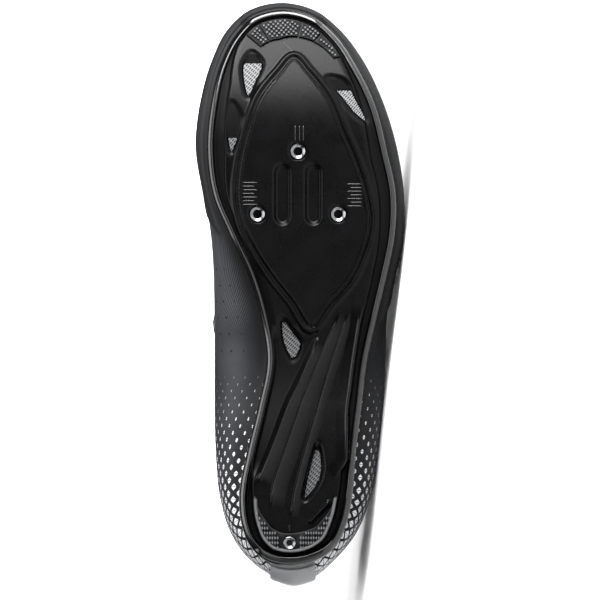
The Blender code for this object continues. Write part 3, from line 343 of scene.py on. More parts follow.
@dataclass
class Outline:
    """The plate's plan outline, with places on it counted from the heel.

    Attributes:
        steps: Samples between two knots of the sole line.
        places: How many places make the round.
        rim_width: Width of the bead along the sides.
        heel_rim_width: Width of the bead round the heel.
        trough_width: The widest trough inside the bead.
        trough_depth: Its greatest depth.
    """

    steps: int
    places: int = 68
    rim_width: float = 0.0030
    heel_rim_width: float = 0.0053
    trough_width: float = 0.0062
    trough_depth: float = 0.0018

    def __post_init__(self) -> None:
        """Samples the line and finds each point's station, side and inward way."""
        self.ring = loop_of(SOLE_LINE, self.steps)
        self.count = len(self.ring)
        index = np.arange(self.count)
        self.station = np.minimum(index, self.count - index) / (self.count // 2)
        self.inner_side = index > self.count // 2
        self.inward = inward_of(self.ring)

    def inset(self, distance: float | np.ndarray) -> np.ndarray:
        """The outline moved inwards."""
        return self.ring + self.inward * np.reshape(distance, (-1, 1))

    def at(self, place: np.ndarray, values: np.ndarray) -> np.ndarray:
        """Values given at each outline point, read at places of the round."""
        index = np.asarray(place, dtype=float) * self.count / self.places
        return np.interp(index, np.arange(self.count), values, period=self.count)

    def point(self, place: np.ndarray, distance: np.ndarray) -> np.ndarray:
        """Plan points at places of the outline, moved inwards."""
        columns = [self.at(place, self.ring[:, axis])
                   + self.at(place, self.inward[:, axis]) * distance for axis in (0, 1)]
        return np.stack(columns, axis=-1)

    def spine(self) -> np.ndarray:
        """For each outline point, the point of the plate's spine that it looks to."""
        middles = (self.ring + self.ring[-np.arange(self.count) % self.count]) / 2
        low, high = SPINE_SHARES
        along = np.clip(middles[:, 0], low * LENGTH, high * LENGTH)
        line = middles[:self.count // 2 + 1]
        return np.column_stack([along, np.interp(along, line[:, 0], line[:, 1])])

    def rim(self) -> tuple[np.ndarray, np.ndarray, np.ndarray]:
        """Rim width, trough width and trough depth at each outline point."""
        table = np.array(RIM_FORM)
        heel, inner_width, inner_depth, outer_width, outer_depth = (
            np.interp(self.station, table[:, 0], table[:, k]) for k in range(1, 6)
        )
        width = np.where(self.inner_side, inner_width, outer_width) * self.trough_width
        depth = np.where(self.inner_side, inner_depth, outer_depth) * self.trough_depth
        return self.rim_width + (self.heel_rim_width - self.rim_width) * heel, width, depth

    def groove_end(self, place: np.ndarray) -> np.ndarray:
        """How far the trough's inner edge and a clearance lie inside places of the outline."""
        rim, trough, _ = self.rim()
        return self.at(place, rim + trough + CLEARANCE)

    def edge_lift(self, along: np.ndarray, across: np.ndarray) -> np.ndarray:
        """How far the plate's face turns up towards its rim.

        Args:
            along: Plan places along the shoe.
            across: Plan places across it.

        Returns:
            The lift at each place.
        """
        outer = self.ring[:self.count // 2 + 1]
        inner = np.vstack([self.ring[self.count // 2:], self.ring[:1]])[::-1]
        high = np.interp(along, outer[:, 0], outer[:, 1])
        low = np.interp(along, inner[:, 0], inner[:, 1])
        half = np.maximum((high - low) / 2, LEAST_HALF_SHARE * BALL_WIDTH)
        reach = np.abs(across - (high + low) / 2) / half
        share = (reach - LIFT_START_SHARE) / (1 - LIFT_START_SHARE)
        return EDGE_LIFT * np.clip(share, 0, LIFT_LIMIT) ** 2


@dataclass
class Last:
    """The shoe's own frame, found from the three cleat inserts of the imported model.

    Attributes:
        outline: The plate's plan outline.
        toe_spring: How far the toe's tip rises from the ground.
        arch_rise: How far the waist does.
        heel_block: How much thicker the plate is under the heel.
        insert_middle: Height of the middle of an insert's box over the plate's lower face.
    """

    outline: Outline
    toe_spring: float = 0.0210
    arch_rise: float = 0.0090
    heel_block: float = 0.0040
    insert_middle: float = 0.00215

    def __post_init__(self) -> None:
        """Finds the frame's ways and its origin."""
        front, medial, lateral = (
            sum(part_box(f"cleat_insert_{name}"), Vector()) / 2 for name in bolt_places()
        )
        self.x = (front - (medial + lateral) / 2).normalized()
        across = lateral - medial
        self.y = (across - self.x * across.dot(self.x)).normalized()
        self.z = self.x.cross(self.y)
        self.turn = np.array([self.x, self.y, self.z]).T
        place = np.array((*bolt_places()["front"], self.insert_middle))
        self.origin = np.array(front) - self.turn @ place

    def world(self, points: np.ndarray) -> np.ndarray:
        """Points of the shoe's frame, carried to the scene."""
        return np.asarray(points) @ self.turn.T + self.origin

    def own(self, points: np.ndarray) -> np.ndarray:
        """Points of the scene, in the shoe's frame."""
        return (np.asarray(points) - self.origin) @ self.turn

    def ground(self, along: np.ndarray) -> np.ndarray:
        """Height of the plate's lower face on its midline."""
        share = np.asarray(along) / LENGTH
        toe = np.clip((share - BALL_END_SHARE) / (1 - BALL_END_SHARE), 0, None)
        heel = np.clip((HEEL_TAIL_SHARE - share) / HEEL_TAIL_SHARE, 0, None)
        waist = np.clip((share - HEEL_FLAT_SHARE) / (BALL_START_SHARE - HEEL_FLAT_SHARE), 0, 1)
        seat = HEEL_PAD_DEPTH + CLEARANCE
        seat = seat + (LEAF_STEP - seat) * waist
        arch = self.arch_rise * np.sin(math.pi * waist) ** 2
        return seat + arch + self.toe_spring * toe**1.6 + EDGE_LIFT * heel**2

    def bend(self, flat: np.ndarray) -> np.ndarray:
        """Bends flat points, whose third value is a height over the plate's lower face."""
        along, across, height = np.moveaxis(np.asarray(flat, dtype=float), -1, 0)
        share = (BALL_START_SHARE - along / LENGTH) / (BALL_START_SHARE - HEEL_FLAT_SHARE)
        heel = np.clip(share, 0, 1)
        block = self.heel_block * heel * heel * (3 - 2 * heel) * np.clip(height / PLATE_WALL, 0, 1)
        level = self.ground(along) + self.outline.edge_lift(along, across) + height + block
        return np.stack([along, across, level], axis=-1)

    def under(self, flat: np.ndarray) -> np.ndarray:
        """Flat sole points, bent and carried to the scene."""
        return self.world(self.bend(flat))


@dataclass
class Contour:
    """A plan line that tells how far points lie from it."""

    points: np.ndarray
    closed: bool = True

    def __post_init__(self) -> None:
        """Lists the line's spans and how far along it each begins."""
        ends = np.roll(self.points, -1, axis=0)
        self.starts = self.points if self.closed else self.points[:-1]
        self.ends = ends if self.closed else ends[:-1]
        lengths = np.linalg.norm(self.ends - self.starts, axis=1)
        self.shares = np.concatenate([[0.0], np.cumsum(lengths)]) / lengths.sum()

    def measure(self, points: np.ndarray) -> tuple[np.ndarray, np.ndarray, np.ndarray]:
        """Measures points against the line.

        Args:
            points: Plan points, last axis the two coordinates.

        Returns:
            The distance, positive inside a closed line or on the outer side of an open one,
            the nearest point of the line, and its share along the line.
        """
        flat = points.reshape(-1, 2)
        best = np.full(len(flat), np.inf)
        near = np.zeros_like(flat)
        share = np.zeros(len(flat))
        side = np.ones(len(flat))
        inside = np.zeros(len(flat), dtype=bool)
        for k, (start, end) in enumerate(zip(self.starts, self.ends)):
            way = end - start
            offset = flat - start
            t = np.clip(offset @ way / max(way @ way, 1e-18), 0, 1)
            foot = start + t[:, None] * way
            gap = np.linalg.norm(flat - foot, axis=1)
            closer = gap < best
            best[closer] = gap[closer]
            near[closer] = foot[closer]
            share[closer] = self.shares[k] + t[closer] * (self.shares[k + 1] - self.shares[k])
            cross = way[0] * offset[:, 1] - way[1] * offset[:, 0]
            side[closer] = np.where(cross[closer] > 0, -1.0, 1.0)
            spans = (start[1] > flat[:, 1]) != (end[1] > flat[:, 1])
            if end[1] != start[1]:
                cut = start[0] + (flat[:, 1] - start[1]) * way[0] / way[1]
                inside ^= spans & (flat[:, 0] < cut)
        sign = np.where(inside, 1.0, -1.0) if self.closed else side
        shape = points.shape[:-1]
        return (best * sign).reshape(shape), near.reshape(points.shape), share.reshape(shape)


# Shaders


@dataclass(frozen=True)
class Signal:
    """A shader output that takes part in arithmetic."""

    graph: "Graph"
    socket: bpy.types.NodeSocket

    def __add__(self, other: "Signal | float") -> "Signal":
        """Adds."""
        return self.graph.math("ADD", self, other)

    def __radd__(self, other: float) -> "Signal":
        """Adds to a number."""
        return self.graph.math("ADD", other, self)

    def __sub__(self, other: "Signal | float") -> "Signal":
        """Subtracts."""
        return self.graph.math("SUBTRACT", self, other)

    def __rsub__(self, other: float) -> "Signal":
        """Subtracts from a number."""
        return self.graph.math("SUBTRACT", other, self)

    def __mul__(self, other: "Signal | float") -> "Signal":
        """Multiplies."""
        return self.graph.math("MULTIPLY", self, other)

    def __rmul__(self, other: float) -> "Signal":
        """Multiplies a number."""
        return self.graph.math("MULTIPLY", other, self)

    def __truediv__(self, other: "Signal | float") -> "Signal":
        """Divides."""
        return self.graph.math("DIVIDE", self, other)

    def between(self, low: float, high: float) -> "Signal":
        """Rises softly from 0 at low to 1 at high."""
        return self.graph.node("ShaderNodeMapRange", {"interpolation_type": "SMOOTHSTEP"},
                               {"Value": self, "From Min": low, "From Max": high}, "Result")

    def window(self, start: tuple[float, float], stop: tuple[float, float]) -> "Signal":
        """Rises from 0 to 1 across the start and falls back across the stop."""
        return self.between(*start) * (1.0 - self.between(*stop))

    def wave(self, pitch: float) -> "Signal":
        """A triangle wave that runs from 0 to 1 and back in each pitch."""
        return self.graph.math("PINGPONG", self / (pitch / 2), 1.0)

    def cell(self, pitch: float, shift: float = 0.0) -> "Signal":
        """Distance from the middle of the nearest cell, from 0 to half a pitch, in pitches."""
        share = self.graph.math("FRACT", self / pitch + shift)
        return self.graph.math("ABSOLUTE", share - 0.5)


@dataclass(frozen=True)
class Finish:
    """The plain numbers of a Principled finish."""

    colour: Colour
    roughness: float
    metallic: float = 0.0
    coat: float = 0.0
    coat_roughness: float = 0.15
    specular: float = 0.5
    sheen: float = 0.0

    def sockets(self) -> dict[str, Colour | float]:
        """The numbers by the shader's own names."""
        return {
            "Base Color": self.colour, "Roughness": self.roughness, "Metallic": self.metallic,
            "Coat Weight": self.coat, "Coat Roughness": self.coat_roughness,
            "Specular IOR Level": self.specular, "Sheen Weight": self.sheen,
        }


class Graph:
    """A material's node tree, built by arithmetic on signals."""

    def __init__(self, name: str, finish: Finish) -> None:
        """Starts a material.

        Args:
            name: The material's name.
            finish: Its plain numbers.
        """
        self.material = bpy.data.materials.new(name)
        self.material.use_nodes = True
        self.tree = self.material.node_tree
        self.shader = self.tree.nodes["Principled BSDF"]
        for key, value in finish.sockets().items():
            self.feed(self.shader.inputs[key], value)
        self.material.diffuse_color = (*finish.colour, 1.0)

    def feed(self, socket: bpy.types.NodeSocket, value: Signal | Colour | float) -> None:
        """Links a signal to a socket, or sets the socket's own value."""
        if isinstance(value, Signal):
            self.tree.links.new(value.socket, socket)
        else:
            socket.default_value = (*value, 1.0) if isinstance(value, tuple) else value

    def node(self, kind: str, settings: dict[str, object],
             sockets: dict[int | str, Signal | Colour | float], output: int | str = 0) -> Signal:
        """Adds a node.

        Args:
            kind: The node's type.
            settings: Its properties, which are set first.
            sockets: What goes to its inputs, by their names or numbers.
            output: The output that is asked for.

        Returns:
            That output.
        """
        node = self.tree.nodes.new(kind)
        for key, value in settings.items():
            setattr(node, key, value)
        for key, value in sockets.items():
            self.feed(node.inputs[key], value)
        return Signal(self, node.outputs[output])

    def math(self, operation: str, *values: Signal | float) -> Signal:
        """One arithmetic step."""
        return self.node("ShaderNodeMath", {"operation": operation}, dict(enumerate(values)))

    def parts(self, vector: Signal) -> tuple[Signal, ...]:
        """Splits a vector."""
        first = self.node("ShaderNodeSeparateXYZ", {}, {0: vector})
        return tuple(Signal(self, output) for output in first.socket.node.outputs)

    def own(self, name: str) -> tuple[Signal, ...]:
        """The three parts of a mesh attribute."""
        return self.parts(
            self.node("ShaderNodeAttribute", {"attribute_name": name}, {}, "Vector"))

    def place(self) -> Signal:
        """Where the surface is, in metres."""
        return self.node("ShaderNodeTexCoord", {}, {}, "Object")

    def noise(self, size: float, detail: float = 2.0) -> Signal:
        """Soft noise whose grains are about the size, in metres."""
        return self.node("ShaderNodeTexNoise", {},
                         {"Vector": self.place(), "Scale": 1 / size, "Detail": detail}, "Fac")

    def grain(self, size: float) -> Signal:
        """Distance to the nearest grain's middle, for leather-like grain."""
        return self.node("ShaderNodeTexVoronoi", {},
                         {"Vector": self.place(), "Scale": 1 / size}, "Distance")

    def larger(self, first: Signal, second: Signal) -> Signal:
        """The larger of two signals."""
        return self.math("MAXIMUM", first, second)

    def blend(self, factor: Signal, first: Signal | Colour, second: Signal | Colour) -> Signal:
        """Mixes two colours."""
        return self.node("ShaderNodeMix", {"data_type": "RGBA"},
                         {0: factor, 6: first, 7: second}, 2)

    def dress(self, colour: Signal, height: Signal, depth: float, strength: float,
              roughness: Signal | None = None, coat: Signal | None = None) -> Material:
        """Feeds what changes over the surface.

        Args:
            colour: The base colour.
            height: A relief from about 0 to 1.
            depth: The relief's real depth.
            strength: How much of it shows.
            roughness: The roughness, where it changes.
            coat: The clear coat's weight, where it changes.

        Returns:
            The finished material.
        """
        normal = self.node("ShaderNodeBump", {},
                           {"Strength": strength, "Distance": depth, "Height": height}, "Normal")
        fed = {"Base Color": colour, "Normal": normal, "Roughness": roughness,
               "Coat Weight": coat}
        for key, value in fed.items():
            if value is not None:
                self.feed(self.shader.inputs[key], value)
        return self.material


class Slot(Enum):
    """Material slot names, which each piece carries."""

    COMPOSITE = "composite"
    RUBBER = "pad_rubber"
    METAL = "insert_metal"
    SCREEN = "screen_mesh"
    FOOT_BED = "foot_bed"
    SHELL = "shell"
    PADDING = "padding"
    WEBBING = "webbing"
    TAB = "tab_panel"


class Wardrobe:
    """Makes each material once."""

    def __init__(self) -> None:
        """Makes them all."""
        self.composite = self.make_composite()
        self.rubber = self.make_rubber()
        self.metal = self.make_metal()
        self.screen = self.make_screen()
        self.shell = self.make_shell()
        self.knit = self.make_knit("padding_knit", (0.020, 0.021, 0.024), 0.0011)
        self.foot_bed = self.make_knit("foot_bed_cloth", (0.034, 0.035, 0.039), 0.0008)
        self.webbing = self.make_webbing()
        self.tab = self.make_tab()
        self.thread = self.make_thread("thread", (0.10, 0.10, 0.11))
        self.tab_thread = self.make_thread("tab_thread", (0.30, 0.31, 0.33))

    def make_composite(self) -> Material:
        """Black moulded composite: glossy on rim and ribs, satin on the cleat field, with painted
        shade in troughs, hollows and vent funnels.
        """
        graph = Graph("composite_black", Finish((0.001, 0.00105, 0.0012), 0.26, coat=0.25,
                                                coat_roughness=0.20, specular=0.08))
        gloss, painted_shade, _ = graph.own("look")
        cloud = graph.noise(0.012, 3.0)
        grain = graph.noise(0.00035, 1.0)
        base = graph.blend(cloud.between(0.3, 0.7), (0.0008, 0.00085, 0.0010),
                           (0.0016, 0.00165, 0.0019))
        return graph.dress(
            # The second look value paints troughs, hollows and vent funnels near-black: painted
            # shade.
            graph.blend(painted_shade, base, (0.0004, 0.0004, 0.0005)),
            grain * (1.0 - gloss * 0.8), 0.00004, 0.6,
            roughness=0.25 - gloss * 0.02 + cloud * 0.05 + painted_shade * 0.25,
            coat=(1.0 - painted_shade) * (0.01 + gloss * 0.95),
        )

    def make_rubber(self) -> Material:
        """Matte black rubber with a fine moulded skin and random dusty tone, painted paler on stud
        tips, block shoulders and the heel lip as a painted highlight.
        """
        graph = Graph("rubber_black", Finish((0.030, 0.031, 0.033), 0.60, specular=0.06))
        tip, _, _ = graph.own("look")
        dust = graph.noise(0.004, 3.0)
        return graph.dress(
            # The first look value paints the stud tips, block shoulders and heel lip paler: a
            # painted highlight; the dust noise adds random tone.
            graph.blend(tip * 0.85 + dust.between(0.45, 0.8) * 0.12,
                        (0.0012, 0.0012, 0.0013), (0.120, 0.122, 0.126)),
            graph.noise(0.0005), 0.00006, 0.7, roughness=0.46 + dust * 0.16,
        )

    def make_metal(self) -> Material:
        """Turned bright metal with fine tool marks."""
        graph = Graph("turned_metal", Finish((0.50, 0.51, 0.52), 0.24, metallic=1.0))
        mark = graph.noise(0.0004)
        return graph.dress(
            graph.blend(graph.noise(0.002).between(0.3, 0.75), (0.19, 0.193, 0.198),
                        (0.12, 0.123, 0.128)),
            mark, 0.00002, 0.5, roughness=0.17 + mark * 0.14,
        )

    def make_screen(self) -> Material:
        """Fine silver screen, woven on the bias."""
        graph = Graph("silver_screen", Finish((0.30, 0.31, 0.32), 0.42, metallic=0.2))
        x, _, z = graph.parts(graph.place())
        first = (x * 0.57 + z * 0.82).wave(0.0011)
        second = (x * 0.82 - z * 0.57).wave(0.0020)
        wires = graph.larger(first.between(0.50, 0.80), second.between(0.62, 0.90))
        return graph.dress(graph.blend(wires, (0.002, 0.002, 0.003), (0.105, 0.108, 0.112)),
                           graph.larger(first, second), 0.00018, 1.0)

    def pale_marks(self, graph: Graph, round_it: Signal, up_it: Signal, along: Signal) -> Signal:
        """Two lattices of split diamonds that grow towards the heel.

        Args:
            graph: The shell's graph.
            round_it: Length run round the shoe.
            up_it: Length run up its wall.
            along: Place along the shoe.

        Returns:
            Where the marks are, from 0 to 1.
        """
        grown = 1.0 - along.between(-0.010, 0.112)
        reach_round = grown * 0.40 + 0.07
        reach_up = grown * 0.42 + 0.02
        lattices = []
        for shift in (0.0, 0.5):
            du = round_it.cell(0.0068, shift)
            dv = up_it.cell(0.0064, shift)
            inside = 1.0 - (du / reach_round + dv / reach_up).between(0.86, 1.0)
            lattices.append(inside * du.between(0.016, 0.036))
        marks = graph.larger(*lattices)
        return marks * (1.0 - along.between(0.099, 0.104)) * (1.0 - up_it.between(0.038, 0.052))

    def pinholes(self, graph: Graph, round_it: Signal, up_it: Signal, along: Signal) -> Signal:
        """Rows of fine round holes at the waist, from the same values as the pale marks."""
        pitch_round, pitch_up = 0.0085, 0.0074
        hole_u = round_it.cell(pitch_round)
        hole_v = up_it.cell(pitch_up)
        spread = graph.math(
            "SQRT", hole_u * hole_u * pitch_round**2 + hole_v * hole_v * pitch_up**2)
        holes = 1.0 - spread.between(0.00045, 0.00070)
        return (holes * along.window((0.106, 0.110), (0.158, 0.162))
                * up_it.window((0.010, 0.012), (0.031, 0.033)))

    def make_shell(self) -> Material:
        """The upper's synthetic: grained toe band, woven side, pinholes and rows of pale marks,
        with painted shade darkening it towards the sole.
        """
        graph = Graph("shell_synthetic", Finish((0.030, 0.031, 0.035), 0.55, specular=0.12))
        round_it, up_it, along = graph.own("wrap")
        band, inner, film = graph.own("look")
        fine = graph.noise(0.0006)
        hatch = (round_it * 0.55 + up_it * 0.84).wave(0.0010)
        woven = (along.window((0.118, 0.138), (0.176, 0.190))
                 * inner * (1.0 - band) * (1.0 - up_it.between(0.030, 0.045)))
        marks = self.pale_marks(graph, round_it, up_it, along)
        holes = self.pinholes(graph, round_it, up_it, along)
        base = graph.blend(graph.noise(0.02).between(0.3, 0.7), (0.016, 0.0167, 0.019),
                           (0.024, 0.0248, 0.028))
        # Painted shade: the shell is painted darker towards and under the sole edge, and the woven
        # threads fade out there.
        base = graph.blend(up_it.between(0.0, 0.017), (0.005, 0.0052, 0.0058), base)
        threads = woven * hatch.between(0.3, 0.8) * up_it.between(0.0, 0.014)
        for mask, tone in (
            (band, (0.012, 0.0122, 0.0131)),
            (threads, (0.060, 0.062, 0.067)),
            (marks, (0.50, 0.505, 0.52)),
            (holes, (0.002, 0.002, 0.002)),
            (film.between(0.2, 0.8), (0.185, 0.188, 0.196)),
        ):
            base = graph.blend(mask, base, tone)
        height = (fine * 0.35 + band * graph.grain(0.0016) * 0.9 + woven * hatch * 0.9
                  + marks * 0.5 - holes * 2.5)
        return graph.dress(base, height, 0.00012, 0.9,
                           roughness=0.50 + band * 0.14 + fine * 0.08 - marks * 0.12)

    def make_knit(self, name: str, colour: Colour, pitch: float) -> Material:
        """A soft knitted lining.

        Args:
            name: The material's name.
            colour: Its deep tone.
            pitch: Distance from loop to loop.

        Returns:
            The material.
        """
        graph = Graph(name, Finish(colour, 0.88, specular=0.25, sheen=0.25))
        x, y, z = graph.parts(graph.place())
        loops = (x + y * 0.4).wave(pitch) * (z + y * 0.7).wave(pitch)
        tone = graph.noise(0.006)
        pale = tuple(part * 2.4 for part in colour)
        return graph.dress(graph.blend(loops * 0.7 + tone * 0.25, colour, pale),
                           loops, 0.00035, 0.8, roughness=0.80 + tone * 0.15)

    def make_webbing(self) -> Material:
        """Ribbed strap cloth with a smoother margin."""
        graph = Graph("strap_cloth", Finish((0.030, 0.031, 0.034), 0.70, specular=0.08))
        along, across, margin = graph.own("wrap")
        weave = (along + across * 0.35).wave(0.0012) * 0.7 + across.wave(0.0016) * 0.3
        weave = weave * (1.0 - margin)
        return graph.dress(graph.blend(weave, (0.016, 0.0165, 0.018), (0.050, 0.051, 0.055)),
                           weave, 0.00016, 0.8, roughness=0.70 - margin * 0.18)

    def make_tab(self) -> Material:
        """Smooth silver-grey film."""
        graph = Graph("tab_film", Finish((0.50, 0.51, 0.53), 0.36))
        cloud = graph.noise(0.015)
        return graph.dress(graph.blend(cloud, (0.165, 0.168, 0.175), (0.20, 0.203, 0.212)),
                           graph.noise(0.0008), 0.00003, 0.5, roughness=0.32 + cloud * 0.10)

    def make_thread(self, name: str, colour: Colour) -> Material:
        """Twisted thread of a name and a colour."""
        graph = Graph(name, Finish(colour, 0.7, sheen=0.2))
        twist = graph.noise(0.0003, 1.0)
        return graph.dress(graph.blend(twist, colour, tuple(part * 1.5 for part in colour)),
                           twist, 0.00008, 0.7)


# Mesh building


def grid_mesh(name: str, rows: np.ndarray, **looks: np.ndarray) -> Mesh:
    """A bmesh grid laid over rows of points, with its coinciding points merged.

    Args:
        name: What the scratch mesh is called.
        rows: Points, as rows by columns by three.
        looks: Values to keep on the mesh, three for each point.

    Returns:
        The grid, faces turned outwards.
    """
    high, wide = rows.shape[:2]
    bm = bmesh.new()
    bmesh.ops.create_grid(bm, x_segments=wide - 1, y_segments=high - 1, size=1.0)
    mesh = bpy.data.meshes.new(name)
    bm.to_mesh(mesh)
    bm.free()
    place = np.empty(len(mesh.vertices) * 3)
    mesh.vertices.foreach_get("co", place)
    place = place.reshape(-1, 3)
    i = np.rint((place[:, 0] + 1) / 2 * (wide - 1)).astype(int)
    k = np.rint((place[:, 1] + 1) / 2 * (high - 1)).astype(int)
    mesh.vertices.foreach_set("co", np.ascontiguousarray(rows[k, i]).ravel())
    for key, values in looks.items():
        layer = mesh.attributes.new(key, "FLOAT_VECTOR", "POINT")
        layer.data.foreach_set("vector", np.ascontiguousarray(values[k, i]).ravel())
    bm = bmesh.new()
    bm.from_mesh(mesh)
    bpy.data.meshes.remove(mesh)
    bmesh.ops.remove_doubles(bm, verts=bm.verts[:], dist=1e-7)
    bmesh.ops.dissolve_degenerate(bm, dist=1e-8, edges=bm.edges[:])
    bmesh.ops.recalc_face_normals(bm, faces=bm.faces[:])
    return bm


def looped(*grids: np.ndarray) -> list[np.ndarray]:
    """Grids whose first column is repeated at their end."""
    return [np.concatenate([grid, grid[:, :1]], axis=1) for grid in grids]


def looks_of(*parts: np.ndarray | float) -> np.ndarray:
    """Packs up to three arrays into the parts of one attribute.

    Args:
        parts: The arrays, or single values.

    Returns:
        One array with a last axis of three.
    """
    shape = np.broadcast_shapes(*(np.shape(part) for part in parts))
    packed = np.zeros((*shape, 3))
    for axis, part in enumerate(parts):
        packed[..., axis] = part
    return packed


def capped(bm: Mesh, in_triangles: bool = False) -> Mesh:
    """Closes a mesh's open ends.

    Args:
        bm: The mesh.
        in_triangles: Whether the new faces are cut up.

    Returns:
        The same mesh, faces turned outwards.
    """
    edges = [edge for edge in bm.edges if edge.is_boundary]
    caps = bmesh.ops.holes_fill(bm, edges=edges, sides=0)
    if in_triangles:
        bmesh.ops.triangulate(bm, faces=caps["faces"])
    bmesh.ops.recalc_face_normals(bm, faces=bm.faces[:])
    return bm


def joined(parts: Sequence[Mesh]) -> Mesh:
    """Joins bmeshes into one.

    Args:
        parts: The bmeshes, which are freed.

    Returns:
        All their faces in one bmesh.
    """
    whole = bmesh.new()
    for part in parts:
        scratch = bpy.data.meshes.new("part")
        part.to_mesh(scratch)
        part.free()
        whole.from_mesh(scratch)
        bpy.data.meshes.remove(scratch)
    return whole


def loft(rings: Sequence[np.ndarray], last: Last, look: Sequence[float]) -> Mesh:
    """A closed solid through flat rings of equal length, bent over the last.

    Args:
        rings: Plan points and heights of each ring.
        look: How pale each ring is.

    Returns:
        The solid.
    """
    rows, = looped(np.array(rings))
    shades = looks_of(np.repeat(np.array(look)[:, None], rows.shape[1], axis=1))
    return capped(grid_mesh("loft", last.under(rows), look=shades), in_triangles=True)


def softened(node: bpy.types.Object, rounds: int) -> Mesh:
    """A copy of a CAD node in quads, divided twice and relaxed.

    Args:
        node: The node.
        rounds: How often it is relaxed.

    Returns:
        The soft mesh.
    """
    bm = copy_of(node)
    for _ in range(2):
        bmesh.ops.subdivide_edges(bm, edges=bm.edges[:], cuts=1, use_grid_fill=True, smooth=0.35)
    for _ in range(rounds):
        bmesh.ops.smooth_vert(bm, verts=bm.verts[:], factor=0.5, use_axis_x=True,
                              use_axis_y=True, use_axis_z=True)
    bmesh.ops.recalc_face_normals(bm, faces=bm.faces[:])
    return bm


def copy_of(node: bpy.types.Object) -> bmesh.types.BMesh:
    """A CAD node's mesh with its split points merged and its triangles joined to quads."""
    bm = bmesh.new()
    bm.from_mesh(node.data)
    bmesh.ops.remove_doubles(bm, verts=bm.verts[:], dist=1e-5)
    bmesh.ops.join_triangles(bm, faces=bm.faces[:], angle_face_threshold=math.radians(60),
                             angle_shape_threshold=math.radians(60))
    return bm


@dataclass
class Piece:
    """One visible piece and what it stands for."""

    name: str
    slot: Slot
    materials: tuple[Material, ...]
    replaces: tuple[str, ...] = ()
    sharp: float = 180.0

    def build(self, bm: Mesh) -> bpy.types.Object:
        """Puts a mesh into the scene and ties it to the frame.

        Args:
            bm: The mesh, which is freed.

        Returns:
            The new object.
        """
        mesh = bpy.data.meshes.new(self.name)
        bm.to_mesh(mesh)
        bm.free()
        for material in self.materials:
            mesh.materials.append(material)
        mesh.shade_smooth()
        if self.sharp < 180.0:
            mesh.set_sharp_from_angle(angle=math.radians(self.sharp))
        obj = bpy.data.objects.new(self.name, mesh)
        bpy.context.scene.collection.objects.link(obj)
        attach(obj, "root")
        if self.replaces:
            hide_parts(*self.replaces)
        log.info("%s: %d faces", self.name, len(mesh.polygons))
        return obj


@dataclass(frozen=True)
class Stitching:
    """Rows of short stitches laid on a surface."""

    length: float = 0.0022
    width: float = 0.0006
    pitch: float = 0.0030

    def along(self, path: np.ndarray, normals: np.ndarray) -> list[Mesh]:
        """Makes stitches at an even pitch.

        Args:
            path: Points of the seam, in the scene.
            normals: The surface's normals there.

        Returns:
            One small bmesh for each stitch.
        """
        reach = reach_along(path)
        size = Matrix.Diagonal((self.length / 2, self.width / 2, self.width / 2, 1.0))
        lying = Matrix.Rotation(math.pi / 2, 4, "Y")
        made = []
        for place in np.arange(self.pitch, reach[-1] - self.pitch / 2, self.pitch):
            point, ahead = (Vector(mixed(path, spot, reach)) for spot in (place, place + 0.0005))
            normal = Vector(mixed(normals, place, reach))
            way = (ahead - point).normalized()
            normal = (normal - way * normal.dot(way)).normalized()
            turn = Matrix((way, normal.cross(way), normal)).transposed().to_4x4()
            bm = bmesh.new()
            bmesh.ops.create_uvsphere(bm, u_segments=6, v_segments=4, radius=1.0,
                                      matrix=Matrix.Translation(point) @ turn @ size @ lying)
            made.append(bm)
        return made


# The sole


